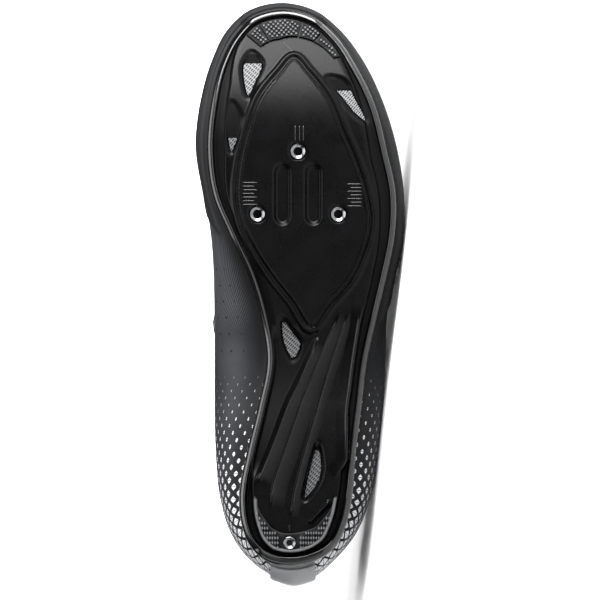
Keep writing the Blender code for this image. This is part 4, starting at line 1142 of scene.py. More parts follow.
@dataclass
class Outsole:
    """The moulded plate with rim, trough, cleat field, ribs, vents and adjustment slots.

    Attributes:
        material: The composite.
        rim_bead: Height of the bead round the plate.
        bead_power: How square the bead's section is.
        trough_slope: The widest side slope of the trough.
        ridge_gap: How far outside the cleat field its ridge runs.
        ridge_height: Height of that ridge.
        rib_height: Height of the long ribs.
        hollow_depth: Depth of the waist's hollow beside the first rib.
        slot_length: Length of an adjustment slot.
        slot_width: Its width.
        slot_offset: How far it lies from the middle.
        slot_middle: Where it lies along the shoe.
        funnels: The share of each vent's length that slopes, vent by vent.
        edge_reach: Width of the finely ruled strip along the edge.
        edge_rows: Rows of the strip.
        inner_rows: Rows from there to the spine.
    """

    last: Last
    material: Material
    rim_bead: float = 0.0014
    bead_power: float = 3.6
    trough_slope: float = 0.0008
    ridge_gap: float = 0.0024
    ridge_height: float = 0.0010
    rib_height: float = 0.0016
    hollow_depth: float = 0.0015
    slot_length: float = 0.0300
    slot_width: float = 0.0088
    slot_offset: float = 0.0075
    slot_middle: float = 0.1904
    funnels: tuple[float, ...] = (0.26, 0.32, 0.74, 0.10, 0.12)
    edge_reach: float = 0.0105
    edge_rows: int = 27
    inner_rows: int = 62

    def __post_init__(self) -> None:
        """Draws the lines of the relief."""
        self.outline = self.last.outline
        self.leaf = Contour(loop_of(LEAF_LINE, 6))
        self.vents = [Contour(real(line)) for line in VENT_LINES]
        self.ribs = [(Contour(spline(np.array(line) / 1000, 5), closed=False), width / 1000)
                     for line, width in RIBS]

    def slot_distance(self, plan: np.ndarray) -> np.ndarray:
        """How far inside the nearer adjustment slot points lie."""
        along = np.abs(plan[..., 0] - self.slot_middle) - (self.slot_length - self.slot_width) / 2
        across = np.abs(np.abs(plan[..., 1]) - self.slot_offset)
        return self.slot_width / 2 - 0.0006 - np.hypot(np.maximum(along, 0), across)

    def bolt_distance(self, plan: np.ndarray) -> np.ndarray:
        """How far points lie from the nearest cleat bolt."""
        gaps = [np.hypot(plan[..., 0] - x, plan[..., 1] - y) for x, y in bolt_places().values()]
        return np.minimum.reduce(gaps)

    def snap(self, plan: np.ndarray, room: np.ndarray) -> np.ndarray:
        """Moves grid points that lie close to an edge of the relief onto it.

        Args:
            plan: The grid's plan points.
            room: How far each may move.

        Returns:
            The moved points.
        """
        for contour, levels in ((self.leaf, (0.0, 0.0006)), *((v, (0.0,)) for v in self.vents)):
            for level in levels:
                gap, near, _ = contour.measure(plan)
                close = np.abs(gap - level) < room
                scale = np.where(np.abs(gap) > 1e-9, level / np.where(gap == 0, 1, gap), 0.0)
                moved = near + (plan - near) * scale[..., None]
                plan = np.where(close[..., None], moved, plan)
        return plan

    def rib_relief(self, plan: np.ndarray, past_rim: np.ndarray) -> tuple[np.ndarray, np.ndarray]:
        """The long ribs, and the hollow on the inner side of the first one.

        Args:
            plan: Plan points.
            past_rim: How far inside the bead they lie.

        Returns:
            Height of the ribs and depth of the hollow.
        """
        ribs = hollow = np.zeros(plan.shape[:-1])
        for number, (contour, width) in enumerate(self.ribs):
            side, _, share = contour.measure(plan)
            side = side * math.copysign(1.0, width)
            fall = 1 - np.clip(side / abs(width), 0, 1)
            form = np.where(side < 0, smooth(side, -0.0012, 0.0), fall)
            crest = 0.25 * bump(side, 0.0003, 0.0009)
            ends = smooth(share, 0.0, 0.12) * (1 - smooth(share, 0.90, 1.0))
            ribs = np.maximum(ribs, self.rib_height * (0.85 * form + crest) * ends)
            if number == 0:
                along = plan[..., 0]
                window = smooth(along, 0.048, 0.062) * (1 - smooth(along, 0.118, 0.128))
                inner = np.broadcast_to(self.outline.inner_side, window.shape)
                hollow = (self.hollow_depth * smooth(-side, 0.0008, 0.0030) * window * inner
                          * smooth(past_rim, 0.0006, 0.0024))
        return ribs, hollow

    def cut_vents(self, plan: np.ndarray, height: np.ndarray,
                  painted_shade: np.ndarray) -> tuple[np.ndarray, np.ndarray]:
        """Sinks the funnels of the vents and marks them for painted shade.

        Args:
            plan: Plan points.
            height: The relief so far.
            painted_shade: The painted shade so far.

        Returns:
            Both with the vents, the funnels added to the painted shade.
        """
        for contour, funnel in zip(self.vents, self.funnels):
            gap, _, _ = contour.measure(plan)
            low, high = contour.points[:, 0].min(), contour.points[:, 0].max()
            share = np.clip((high - plan[..., 0]) / (high - low) / funnel, 0, 1)
            deep = np.where(share < 1, 0.0005 + 0.0014 * share, 0.0028)
            height = height + 0.0006 * smooth(gap, -0.0024, -0.0002)
            weight = smooth(gap, -0.0006, 0.0004)
            height = height + (deep - height) * weight
            # The vent funnels are marked for painted shade.
            painted_shade = np.maximum(painted_shade, weight)
        return height, painted_shade

    def relief(self, plan: np.ndarray, edge: np.ndarray) -> tuple[np.ndarray, ...]:
        """The plate's outer face.

        Args:
            plan: Plan points.
            edge: How far each lies inside the outline.

        Returns:
            Heights over the plate's lower face, negative towards the ground, gloss and painted
            shade.
        """
        rim, width, depth = self.outline.rim()
        slope = np.minimum(0.2 * width, self.trough_slope)
        share = np.clip(edge / rim, 0, 1)
        bead = self.rim_bead * (1 - np.abs(2 * share - 1) ** self.bead_power)
        shoulder = 0.3 * PLATE_WALL * np.clip(1 - share / 0.16, 0, 1) ** 2
        trough = depth * smooth(edge, rim, rim + slope)
        trough = trough * (1 - smooth(edge, rim + width - slope, rim + width))
        gap, _, _ = self.leaf.measure(plan)
        field_top = LEAF_STEP * smooth(gap, 0.0, 0.0006) + 0.00022 * bump(gap, 0.0006, 0.0007)
        ridge = self.ridge_height * bump(gap, -self.ridge_gap, 0.0018)
        ribs, hollow = self.rib_relief(plan, edge - rim)
        raised = np.maximum.reduce([field_top, ridge, ribs])
        hollow = np.maximum(hollow, trough) * (1 - smooth(raised, 0.0, 0.0004))
        height = np.where(edge < rim, shoulder - bead, hollow - raised)
        height += smooth(self.slot_distance(plan), -0.0006, 0.0009) * (LEAF_STEP + 0.0005)
        seat = self.bolt_distance(plan)
        height += 0.00030 * (1 - smooth(seat, INSERT_RADIUS + 0.0003, INSERT_RADIUS + 0.0012))
        height = np.where(seat < INSERT_RADIUS, PLATE_WALL * 0.9, height)
        # Painted shade: troughs and hollows are marked to be painted darker.
        painted_shade = smooth(hollow, 0.0006, 0.0014) * (edge > rim)
        height, painted_shade = self.cut_vents(plan, height, painted_shade)
        gloss = np.where(edge < rim, 1.0, np.clip(ribs / self.rib_height, 0, 1) * 0.25)
        return height, gloss, painted_shade

    def face(self) -> tuple[np.ndarray, np.ndarray, np.ndarray]:
        """Rows of the outer face from the edge to the spine, with their gloss and painted shade.
        """
        outline, spine = self.outline, self.outline.spine()
        edges = np.linspace(0.0, self.edge_reach, self.edge_rows)
        near = np.array([outline.inset(distance) for distance in edges])
        start = near[-1]
        far = start + (spine - start) * np.linspace(0, 1, self.inner_rows)[1:, None, None]
        plan = np.concatenate([near, far])
        edge = np.concatenate([np.repeat(edges[:, None], outline.count, axis=1),
                               np.full(far.shape[:2], self.edge_reach * 2)])
        step = np.linalg.norm(spine - start, axis=1) / self.inner_rows
        room = np.where(edge > 0.0095, np.minimum(0.00026, 0.45 * step), 0.0)
        plan = np.concatenate([self.snap(plan[:-1], room[:-1]), plan[-1:]])
        height, gloss, painted_shade = self.relief(plan, edge)
        return np.concatenate([plan, height[..., None]], axis=-1), gloss, painted_shade

    def build(self) -> None:
        """Makes the plate."""
        outline = self.outline
        face, gloss, painted_shade = self.face()
        back = []
        for distance, level in ((None, 1.0), (0.0041, 1.0), (0.0006, 1.0), (0.0, 0.85),
                                (0.0, 0.45)):
            ring = outline.spine() if distance is None else outline.inset(distance)
            back.append(np.column_stack([ring, np.full(outline.count, level * PLATE_WALL)]))
        rows = np.concatenate([np.array(back), face])
        behind = np.ones((len(back), outline.count))
        look = looks_of(np.concatenate([behind, gloss]), np.concatenate([behind * 0, painted_shade]))
        rows, look = looped(rows, look)
        bm = grid_mesh("outsole", self.last.under(rows), look=look)
        Piece("sole_plate", Slot.COMPOSITE, (self.material,), ("outsole",)).build(bm)


@dataclass
class SoleMarks:
    """The fine adjustment lines beside the cleat holes and above the front one."""

    last: Last
    material: Material
    half_width: float = 0.00026
    height: float = 0.00042
    root: float = 0.0002
    pitch: float = 0.00177
    length: float = 0.0062
    longer: float = 0.0015
    creases: tuple[tuple[Plan, Plan], ...] = (
        ((0.2655, -0.0079), (0.2580, -0.0008)),
        ((0.0301, -0.0044), (0.0267, -0.0039)),
        ((0.0259, -0.0087), (0.0255, 0.0015)),
    )

    def bar(self, start: Plan, stop: Plan, face: float = -LEAF_STEP) -> Mesh:
        """One half-round raised line between two places of the plan.

        Args:
            start: One end, in plan.
            stop: The other end.
            face: Height of the face it stands on.

        Returns:
            The closed line.
        """
        start, stop = np.array(start), np.array(stop)
        side = np.array([start[1] - stop[1], stop[0] - start[0]]) / np.linalg.norm(stop - start)
        rows = []
        for share in np.linspace(0, 1, 9):
            size = min(1.0, min(share, 1 - share) * 10 + 0.3)
            row = []
            for turn in np.linspace(0, math.pi, 6):
                place = start + (stop - start) * share + side * self.half_width * math.cos(turn)
                row.append((*place, face + self.root - self.height * math.sin(turn) * size))
            rows.append([*row, row[0]])
        rows = np.array(rows)
        look = looks_of(np.ones(rows.shape[:2]))
        return capped(grid_mesh("bar", self.last.under(rows), look=look))

    def build(self) -> None:
        """Makes both ladders of lines, the three above the front hole and the short ones."""
        bars = []
        for i in range(7):
            length = self.length + self.longer * (1 - i % 2)
            along = 0.1961 - i * self.pitch
            for place, end, way in ((along, -0.0271, length), (along - 0.0007, 0.0313, -length)):
                bars.append(self.bar((place, end), (place, end + way)))
        bars += [self.bar((0.2160, across), (0.2240, across))
                 for across in (-0.0013, 0.0008, 0.0026)]
        bars += [self.bar(start, stop, 0.0) for start, stop in self.creases]
        Piece("sole_marks", Slot.COMPOSITE, (self.material,)).build(joined(bars))


@dataclass
class Pad:
    """A rubber crescent along the plate's edge, made of one or more blocks.

    Attributes:
        material: The rubber.
        span: Its two ends, in places of the outline.
        width: Its greatest width.
        middle: The plan point that its inner edge looks to, in shares.
        depth: How far it stands out.
        pitch: Distance from stud to stud.
        stretch: How much longer than wide a stud is.
        margin: How far the studs stay from the edge.
        lean: Turn of the studs' rows in degrees.
        stud_root: Where the studs begin, as a share of the depth.
    """

    last: Last
    material: Material
    span: Plan
    width: float
    middle: Plan
    depth: float
    pitch: float
    stretch: float
    margin: float
    lean: float
    stud_root: float

    def swell(self, share: np.ndarray) -> np.ndarray:
        """The width's share along the crescent."""
        return np.ones_like(share)

    def sides(self, places: np.ndarray) -> tuple[np.ndarray, np.ndarray]:
        """The crescent's edges.

        Args:
            places: Places of the outline.

        Returns:
            Its outer and inner edge points there.
        """
        outline = self.last.outline
        share = (places - self.span[0]) / (self.span[1] - self.span[0])
        outer = outline.point(places, outline.groove_end(places))
        way = unit(np.array([self.middle[0] * LENGTH, self.middle[1] * BALL_WIDTH]) - outer)
        return outer, outer + way * (self.width * self.swell(np.clip(share, 0, 1)))[:, None]

    def block(self, start: float, stop: float, crown: float) -> tuple[Mesh, Contour]:
        """One block with rounded shoulders.

        Args:
            start: Its first place of the outline.
            stop: Its last place.
            crown: How far it stands out.

        Returns:
            The block and its plan line.
        """
        outer, inner = self.sides(np.linspace(start, stop, 60))
        line = np.vstack([outer, inner[::-1]])
        inward = inward_of(line)
        rings = []
        for drawn, drop in ((0.0, 0.0), (0.0, 0.72), (0.12, 0.90), (0.32, 0.98), (0.60, 1.0)):
            ring = line + inward * drawn * 0.001
            level = -CLEARANCE - (crown - CLEARANCE) * drop
            rings.append(np.column_stack([ring, np.full(len(ring), level)]))
        # The shoulder rings are painted paler than the top and sides: a painted highlight.
        return loft(rings, self.last, (0, 0, 0.15, 0.12, 0.02)), Contour(line)

    def studs(self, contours: Sequence[Contour], clear: Callable) -> list[Mesh]:
        """Small pyramids on a slanted lattice inside the blocks.

        Args:
            contours: The blocks' plan lines.
            clear: Tells which plan points may carry a stud.

        Returns:
            The studs.
        """
        places = np.arange(-60, 61) * self.pitch
        grid = np.stack(np.meshgrid(places, places, indexing="ij"), axis=-1).reshape(-1, 2)
        grid[:, 0] *= self.stretch
        angle = math.radians(self.lean)
        spin = np.array([[math.cos(angle), -math.sin(angle)], [math.sin(angle), math.cos(angle)]])
        centre = np.mean([contour.points.mean(axis=0) for contour in contours], axis=0)
        grid = grid @ spin.T + centre
        tip = np.array([(self.stretch, 0.0), (0.0, 1.0), (-self.stretch, 0.0), (0.0, -1.0)])
        form = ((1.0, self.stud_root), (0.55, 0.97), (0.22, 1.0))
        made = []
        for contour in contours:
            gap, _, _ = contour.measure(grid)
            for point in grid[(gap > self.margin) & clear(grid)]:
                rings = [np.column_stack([tip * self.pitch * 0.5 * size @ spin.T + point,
                                          np.full(4, -self.depth * level)])
                         for size, level in form]
                # Stud tips are painted paler than their roots: a painted highlight.
                made.append(loft(rings, self.last, (0.1, 0.9, 1.0)))
        return made


@dataclass
class ToePad(Pad):
    """Four studded rubber blocks under the toe.

    Attributes:
        cuts: Where the crescent is cut, in places of the outline.
        forms: The width's share at shares of the span.
        crown: Height of the blocks, as a share of the depth.
    """

    span: Plan = (28.8, 37.3)
    width: float = 0.0098
    middle: Plan = (0.885, -0.045)
    depth: float = 0.0024
    pitch: float = 0.00165
    stretch: float = 1.0
    margin: float = 0.00070
    lean: float = 38.0
    stud_root: float = 0.55
    cuts: tuple[float, ...] = (31.0, 32.7, 35.7)
    forms: tuple[Plan, ...] = ((0.0, 0.30), (0.25, 0.52), (0.46, 0.74), (0.68, 1.00),
                               (0.85, 0.98), (1.0, 0.90))
    crown: float = 0.62

    def swell(self, share: np.ndarray) -> np.ndarray:
        """The width's share along the crescent."""
        return np.interp(share, *zip(*self.forms))

    def build(self) -> None:
        """Makes the four blocks and their studs."""
        stops = (self.span[0], *self.cuts, self.span[1])
        made = [self.block(start + 0.05, stop - 0.05, self.crown * self.depth)
                for start, stop in zip(stops, stops[1:])]
        studs = self.studs([contour for _, contour in made],
                           lambda points: np.ones(len(points), dtype=bool))
        Piece("toe_grip", Slot.RUBBER, (self.material,), ("toe_pad",), 38.0).build(
            joined([block for block, _ in made] + studs))


def screw_place(last: Last) -> np.ndarray:
    """Where the heel pad's screw sits."""
    place = np.array([SCREW_PLACE])
    return last.outline.point(place, last.outline.groove_end(place) + HEEL_PAD_WIDTH / 2)[0]


@dataclass
class HeelPad(Pad):
    """The heel crescent with its raised outer lip and ribbed arms.

    Attributes:
        taper: How fast the crescent narrows to its ends.
        tip: The least share of the width, at the ends.
        crown: Height of the body, as a share of the depth.
        lip: Section of the outer lip: reach inwards, and share of the depth.
        bare: Half the width that the studs leave free round the screw.
    """

    span: Plan = (-8.1, 8.0)
    width: float = HEEL_PAD_WIDTH
    middle: Plan = (0.139, -0.015)
    depth: float = HEEL_PAD_DEPTH
    pitch: float = 0.00125
    stretch: float = 1.9
    margin: float = 0.0010
    lean: float = 0.0
    stud_root: float = 0.74
    taper: float = 0.90
    tip: float = 0.12
    crown: float = 0.80
    lip: tuple[Plan, ...] = ((0.00005, 0.2), (0.0001, 0.9), (0.0005, 1.0), (0.0010, 0.98),
                             (0.0015, 0.80), (0.0016, 0.2))
    bare: float = 0.0052

    def swell(self, share: np.ndarray) -> np.ndarray:
        """The width's share along the crescent."""
        return np.maximum(np.sin(math.pi * share) ** self.taper, self.tip)

    def build_lip(self) -> Mesh:
        """The raised lip along the crescent's outer edge."""
        outer, inner = self.sides(np.linspace(self.span[0] + 0.1, self.span[1] - 0.1, 90))
        way = unit(inner - outer)
        rows = [np.column_stack([outer + way * reach, np.full(len(way), -self.depth * drop)])
                for reach, drop in self.lip]
        rows = np.array([*rows, rows[0]])
        # The lip is painted pale: a painted highlight.
        look = looks_of(np.full(rows.shape[:2], 0.7))
        return capped(grid_mesh("lip", self.last.under(rows), look=look))

    def build(self) -> None:
        """Makes the body, the lip and the studs of both arms."""
        body, contour = self.block(*self.span, self.crown * self.depth)
        centre = screw_place(self.last)
        studs = self.studs([contour], lambda points: np.abs(points[:, 1] - centre[1]) > self.bare)
        Piece("heel_grip", Slot.RUBBER, (self.material,), ("heel_pad",), 38.0).build(
            joined([body, self.build_lip(), *studs]))


@dataclass
class Metalwork:
    """The three threaded cleat inserts and the heel screw."""

    last: Last
    material: Material
    bore: float = 0.0021
    groove: float = 0.0023
    turns: int = 5
    turn_pitch: float = 0.0006
    proud: float = 0.0004
    segments: int = 48

    def turned(self, centre: Sequence[float], profile: Sequence[Plan]) -> Mesh:
        """A solid of revolution on the sole.

        Args:
            centre: Its place in plan.
            profile: Pairs of radius and height.

        Returns:
            The solid.
        """
        angles = np.linspace(0, 2 * math.pi, self.segments + 1)
        rows = np.array([
            [(centre[0] + radius * math.cos(a), centre[1] + radius * math.sin(a), level)
             for a in angles]
            for radius, level in profile
        ])
        look = looks_of(np.zeros(rows.shape[:2]))
        return grid_mesh("turned", self.last.under(rows), look=look)

    def insert_profile(self) -> list[Plan]:
        """An insert's section, countersunk, with its grooves."""
        face, top = -LEAF_STEP - self.proud, PLATE_WALL * 0.8
        profile = [(self.bore, top), (INSERT_RADIUS, top), (INSERT_RADIUS, face + 0.0003),
                   (0.0035, face), (0.0034, face + 0.0001), (0.0022, face + 0.0007)]
        for turn in range(self.turns):
            level = face + turn * self.turn_pitch
            profile += [(self.bore, level + 0.0013), (self.groove, level + 0.0016)]
        return [*profile, (self.bore, top)]

    def screw_profile(self) -> list[Plan]:
        """The heel screw's section, cupped in the middle."""
        low, top = -HEEL_PAD_DEPTH, PLATE_WALL * 0.4
        return [(0.0, top), (0.0029, top), (0.0030, low + 0.0008), (0.0029, low + 0.0002),
                (0.0027, low + 0.0001), (0.0025, low + 0.0002), (0.0013, low + 0.0010),
                (0.0006, low + 0.0013), (0.0, low + 0.00135)]

    def build(self) -> None:
        """Makes all four."""
        jobs = [(f"cleat_ring_{name}", f"cleat_insert_{name}", place, self.insert_profile())
                for name, place in bolt_places().items()]
        jobs.append(("heel_pad_screw", "heel_screw", screw_place(self.last),
                     self.screw_profile()))
        for name, node, place, profile in jobs:
            Piece(name, Slot.METAL, (self.material,), (node,), 40.0).build(
                self.turned(place, profile))


@dataclass
class VentScreens:
    """The fine screens behind the vents, which are the CAD's own solids."""

    nodes: dict[str, bpy.types.Object]
    material: Material
    count: int = 5

    def build(self) -> None:
        """Dresses each of them."""
        for number in range(1, self.count + 1):
            self.nodes[f"vent_screen_{number}"].material_slots[0].material = self.material
            log.info("vent_screen_%d: dressed", number)


# The upper


def normals_of(levels: np.ndarray) -> np.ndarray:
    """Outward unit normals of a stack of closed rings."""
    round_it = np.roll(levels, -1, axis=1) - np.roll(levels, 1, axis=1)
    return unit(np.cross(np.gradient(levels, axis=0), round_it))


@dataclass
class Upper:
    """The upper's surface as a fine grid, in the shoe's frame, and what is sewn on it.

    Attributes:
        shell: The outer material.
        lining: The knit inside and on the collar.
        thread: The stitches' thread.
        level_steps: Samples between two levels of the wall.
        band_step: How much thicker the band round the forefoot is.
        band_ends: Stations where it ends on the inner and the outer side.
        collar_pad: Thickness of the collar's padding.
        collar_depth: How far down it reaches.
        throat_end: Station where the collar's padding is gone.
        throat_fade: Stations over which it thins.
    """

    last: Last
    shell: Material
    lining: Material
    thread: Material
    level_steps: int = 7
    band_step: float = 0.0008
    band_ends: tuple[float, float] = (0.600, 0.470)
    collar_pad: float = 0.0038
    collar_depth: float = 0.0240
    throat_end: float = 0.42
    throat_fade: float = 0.08

    def __post_init__(self) -> None:
        """Works out the surface and the measures taken on it."""
        outline = self.last.outline
        knots = self.knot_rings()
        self.levels = spline(knots, self.level_steps)
        self.level = np.linspace(0, len(knots) - 1, len(self.levels))
        self.station = outline.station
        self.inner_side = outline.inner_side
        self.count = outline.count
        self.normals = normals_of(self.levels)
        self.up_it = self.climb()
        reach = reach_along(looped(self.levels)[0][6 * self.level_steps])
        self.round_it = np.minimum(reach[:-1], reach[-1] - reach[:-1])
        self.band = self.band_mask()
        self.outside = self.outer()

    def knot_rings(self) -> np.ndarray:
        """The rings that the surface runs through, from the lasted edge to the collar."""
        outline = self.last.outline
        wide = loop_of(WIDE_LINE, outline.steps, (3, 4))
        top = loop_of(TOP_LINE, outline.steps, (3, 3))
        rings = []
        for distance in LASTED_RINGS:
            plan = outline.inset(distance)
            flat = np.column_stack([plan, np.full(len(plan), PLATE_WALL)])
            rings.append(self.last.bend(flat) + (0, 0, CLEARANCE))
        foot = rings[-1]
        wide[:, 2] += foot[:, 2]
        for angle in np.radians(UNDER_TURNS):
            turn = (math.sin(angle), math.sin(angle), 1 - math.cos(angle))
            rings.append(foot + (wide - foot) * turn)
        for level in np.array(WALL_FORM):
            inward, upward = (np.interp(outline.station, WALL_STATIONS, level[:, axis])
                              for axis in (0, 1))
            share = np.column_stack([inward, inward, upward])
            rings.append(wide + (top - wide) * share)
        return np.array(rings)

    def climb(self) -> np.ndarray:
        """How far up the wall from the plate's edge each point lies."""
        steps = np.linalg.norm(np.diff(self.levels, axis=0), axis=2)
        reach = np.concatenate([np.zeros((1, steps.shape[1])), np.cumsum(steps, axis=0)])
        return reach - reach[2 * self.level_steps]

    def band_top(self, station: np.ndarray | float) -> np.ndarray:
        """How much higher the band's edge runs at the toe than at its ends, in levels."""
        return 0.9 * smooth(np.asarray(station), 0.62, 0.95)

    def band_mask(self) -> np.ndarray:
        """Where the thicker band round the forefoot lies, from 0 to 1."""
        start = np.where(self.inner_side, *self.band_ends)
        level = self.level[:, None]
        slant = (level - 4.0) * 0.010
        ends = smooth(self.station - start - slant, 0.0, 0.006)
        top = 7.4 + self.band_top(self.station)
        return ends * smooth(level, 2.6, 3.1) * (1 - smooth(level, top, top + 0.22))

    def tab_mask(self) -> np.ndarray:
        """Where the heel panel's film runs on down to the sole, from 0 to 1."""
        across = self.levels[:, :, 1] / TAB_WIDTH
        low, high = TAB_SIDES
        sides = smooth(across, low - 0.02, low) * (1 - smooth(across, high, high + 0.02))
        return sides * (self.station < 0.2) * (self.level[:, None] < 3.2)

    def drop(self) -> np.ndarray:
        """How far below the collar's edge each point lies."""
        return self.levels[-1, :, 2] - self.levels[:, :, 2]

    def fade(self, station: np.ndarray) -> np.ndarray:
        """How much of the collar's padding there is at a station."""
        return np.clip((self.throat_end - station) / self.throat_fade, 0, 1)

    def outer(self) -> np.ndarray:
        """The outside with its band, folds, binding and padded collar."""
        level, station = self.level[:, None], self.station[None, :]
        wall = smooth(level, 5.0, 6.5)
        drop, fade = self.drop(), self.fade(station)
        push = self.band_step * self.band
        push = push + 0.0011 * bump(drop, 0.009, 0.011) * fade * wall
        push = push - 0.0006 * bump(drop, 0.0215, 0.0026) * fade * wall
        push = push + 0.0006 * (1 - smooth(drop, 0.0030, 0.0042)) * wall
        over = smooth(level, 7.0, 9.0)
        for middle, lean, depth in FOLDS:
            line = middle + lean * (level - 9.0)
            push = push - depth * bump(station, line, 0.012) * over
            push = push + 0.5 * depth * bump(station, line + 0.016, 0.014) * over
        return self.levels + self.normals * push[:, :, None]

    def quads(self) -> list[tuple[int, int, int, int]]:
        """Corner numbers of the grid's faces, turned outwards."""
        wide = self.count
        return [(k * wide + i, k * wide + (i + 1) % wide, (k + 1) * wide + (i + 1) % wide,
                 (k + 1) * wide + i) for k in range(len(self.levels) - 1) for i in range(wide)]

    def build_shell(self) -> None:
        """Makes the shell with its true wall, open at collar and throat and underneath."""
        outer = self.outside
        inner = (self.levels - self.normals * UPPER_WALL)[::2]
        middle, half = (outer[-1] + inner[-1]) / 2, (outer[-1] - inner[-1]) / 2
        rise = np.linalg.norm(half, axis=1)[:, None] * (0, 0, 1)
        roll = [middle + half * math.cos(a) + rise * math.sin(a)
                for a in np.radians((35.0, 70.0, 110.0, 145.0))]
        rings = np.array([*outer, *roll, *inner[::-1], outer[0]])
        looks, wraps = np.zeros_like(rings), np.zeros_like(rings)
        looks[:len(outer), :, 0] = self.band
        looks[:, :, 1] = self.inner_side
        looks[:len(outer), :, 2] = self.tab_mask()
        wraps[:, :, 0] = self.round_it
        wraps[:len(outer), :, 1] = self.up_it
        wraps[len(outer):, :, 1] = 0.09
        wraps[:, :, 2] = rings[:, :, 0]
        rings, looks, wraps = looped(rings, looks, wraps)
        bm = grid_mesh("upper", self.last.world(rings), look=looks, wrap=wraps)
        spots = self.last.world(self.levels.reshape(-1, 3))
        tree = BVHTree.FromPolygons([Vector(spot) for spot in spots], self.quads())
        for face in bm.faces:
            centre = face.calc_center_median()
            near, normal, _, _ = tree.find_nearest(centre)
            if (centre - near).dot(normal) < -UPPER_WALL * 0.6:
                face.material_index = 1
        Piece("upper_shell", Slot.SHELL, (self.shell, self.lining), ("upper",), 60.0).build(bm)

    def build_collar_pad(self) -> None:
        """The padded lining round the inside of the collar, thinning towards the throat."""
        reach = int(0.415 * (self.count // 2))
        columns = [i % self.count for i in range(-reach, reach + 1)]
        fade = self.fade(self.station[columns]) ** 0.7
        drop = self.drop()[:, columns]
        depth = np.clip(1 - drop / self.collar_depth, 0, 1)
        first = int(np.argmax((depth.max(axis=1) > 0) & (self.level > 6.5)))
        points, normals = self.levels[:, columns], self.normals[:, columns]
        rows = []
        for k in range(first, len(self.levels)):
            thick = self.collar_pad * np.sin(math.pi / 2 * depth[k]) * fade
            channel = 1 - 0.35 * bump(drop[k], 0.0125, 0.0020)
            rows.append(points[k] - normals[k] * (UPPER_WALL + thick * channel)[:, None])
        top = rows[-1]
        edge = points[-1] - normals[-1] * (UPPER_WALL * 0.6)
        for a in np.radians((40.0, 80.0, 120.0)):
            rise = np.linalg.norm(edge - top, axis=1)[:, None] * 0.5 * math.sin(a)
            rows.append(top + (edge - top) * (1 - math.cos(a)) / 2 + rise * (0, 0, 1))
        rows.append(edge)
        for k in range(len(self.levels) - 1, first - 1, -2):
            rows.append(points[k] - normals[k] * (UPPER_WALL - 0.0002))
        rows.append(rows[0])
        bm = capped(grid_mesh("collar", self.last.world(np.array(rows))))
        pad = Piece("collar_pad", Slot.PADDING, (self.lining,)).build(bm)

    def seam(self, columns: Sequence[int], level: Callable) -> tuple[np.ndarray, np.ndarray]:
        """A line on the outside for a row of stitches.

        Args:
            columns: The grid's columns it crosses.
            level: The level it runs at, for a station.

        Returns:
            Its points in the scene, and the normals there.
        """
        path, normals = [], []
        for i in columns:
            k = float(np.clip(level(self.station[i]), 0, self.level[-1])) / self.level[1]
            low = min(int(k), len(self.levels) - 2)
            below, above = self.outside[low:low + 2, i]
            normals.append(self.normals[low, i])
            path.append(below + (above - below) * (k - low) + normals[-1] * 0.0001)
        return self.last.world(np.array(path)), np.array(normals) @ self.last.turn.T

    def build_seams(self) -> None:
        """Stitch rows above the toe band and round the throat."""
        half = self.count // 2
        toe = range(int(self.band_ends[1] * half) + 4,
                    self.count - int(self.band_ends[0] * half) - 4)
        throat = range(int(0.44 * half), self.count - int(0.44 * half))
        made = []
        for columns, level in ((toe, lambda station: 7.15 + self.band_top(station)),
                               (throat, lambda station: 12.0 - 0.34),
                               (throat, lambda station: 12.0 - 0.52)):
            made += Stitching().along(*self.seam(columns, level))
        Piece("shell_stitches", Slot.SHELL, (self.thread,)).build(joined(made))

    def build(self) -> None:
        """Makes the shell, its collar and its seams."""
        self.build_shell()
        self.build_collar_pad()
        self.build_seams()


@dataclass
class FootBed:
    """The foot bed, soft at its edges."""

    node: bpy.types.Object
    material: Material
    fill: float = 0.9

    def build(self) -> None:
        """Makes it from the CAD's foot bed."""
        piece = Piece("foot_bed", Slot.FOOT_BED, (self.material,), ("insole",))
        piece.build(softened(self.node, 3))


@dataclass
class Tongue:
    """The padded tongue with cross channels."""

    last: Last
    node: bpy.types.Object
    material: Material
    fill: float = 0.75
    channel_pitch: float = 0.011
    crown: float = 0.0005
    sunk: float = 0.0002

    def build(self) -> None:
        """Makes it from the CAD's tongue."""
        bm = softened(self.node, 4)
        for vert in bm.verts:
            along = float(self.last.own(np.array(vert.co))[0])
            quilt = abs(math.sin(math.pi * along / self.channel_pitch))
            vert.co += vert.normal * (self.crown * quilt**0.6 - self.sunk)
        piece = Piece("tongue_pad", Slot.PADDING, (self.material,), ("tongue",)).build(bm)


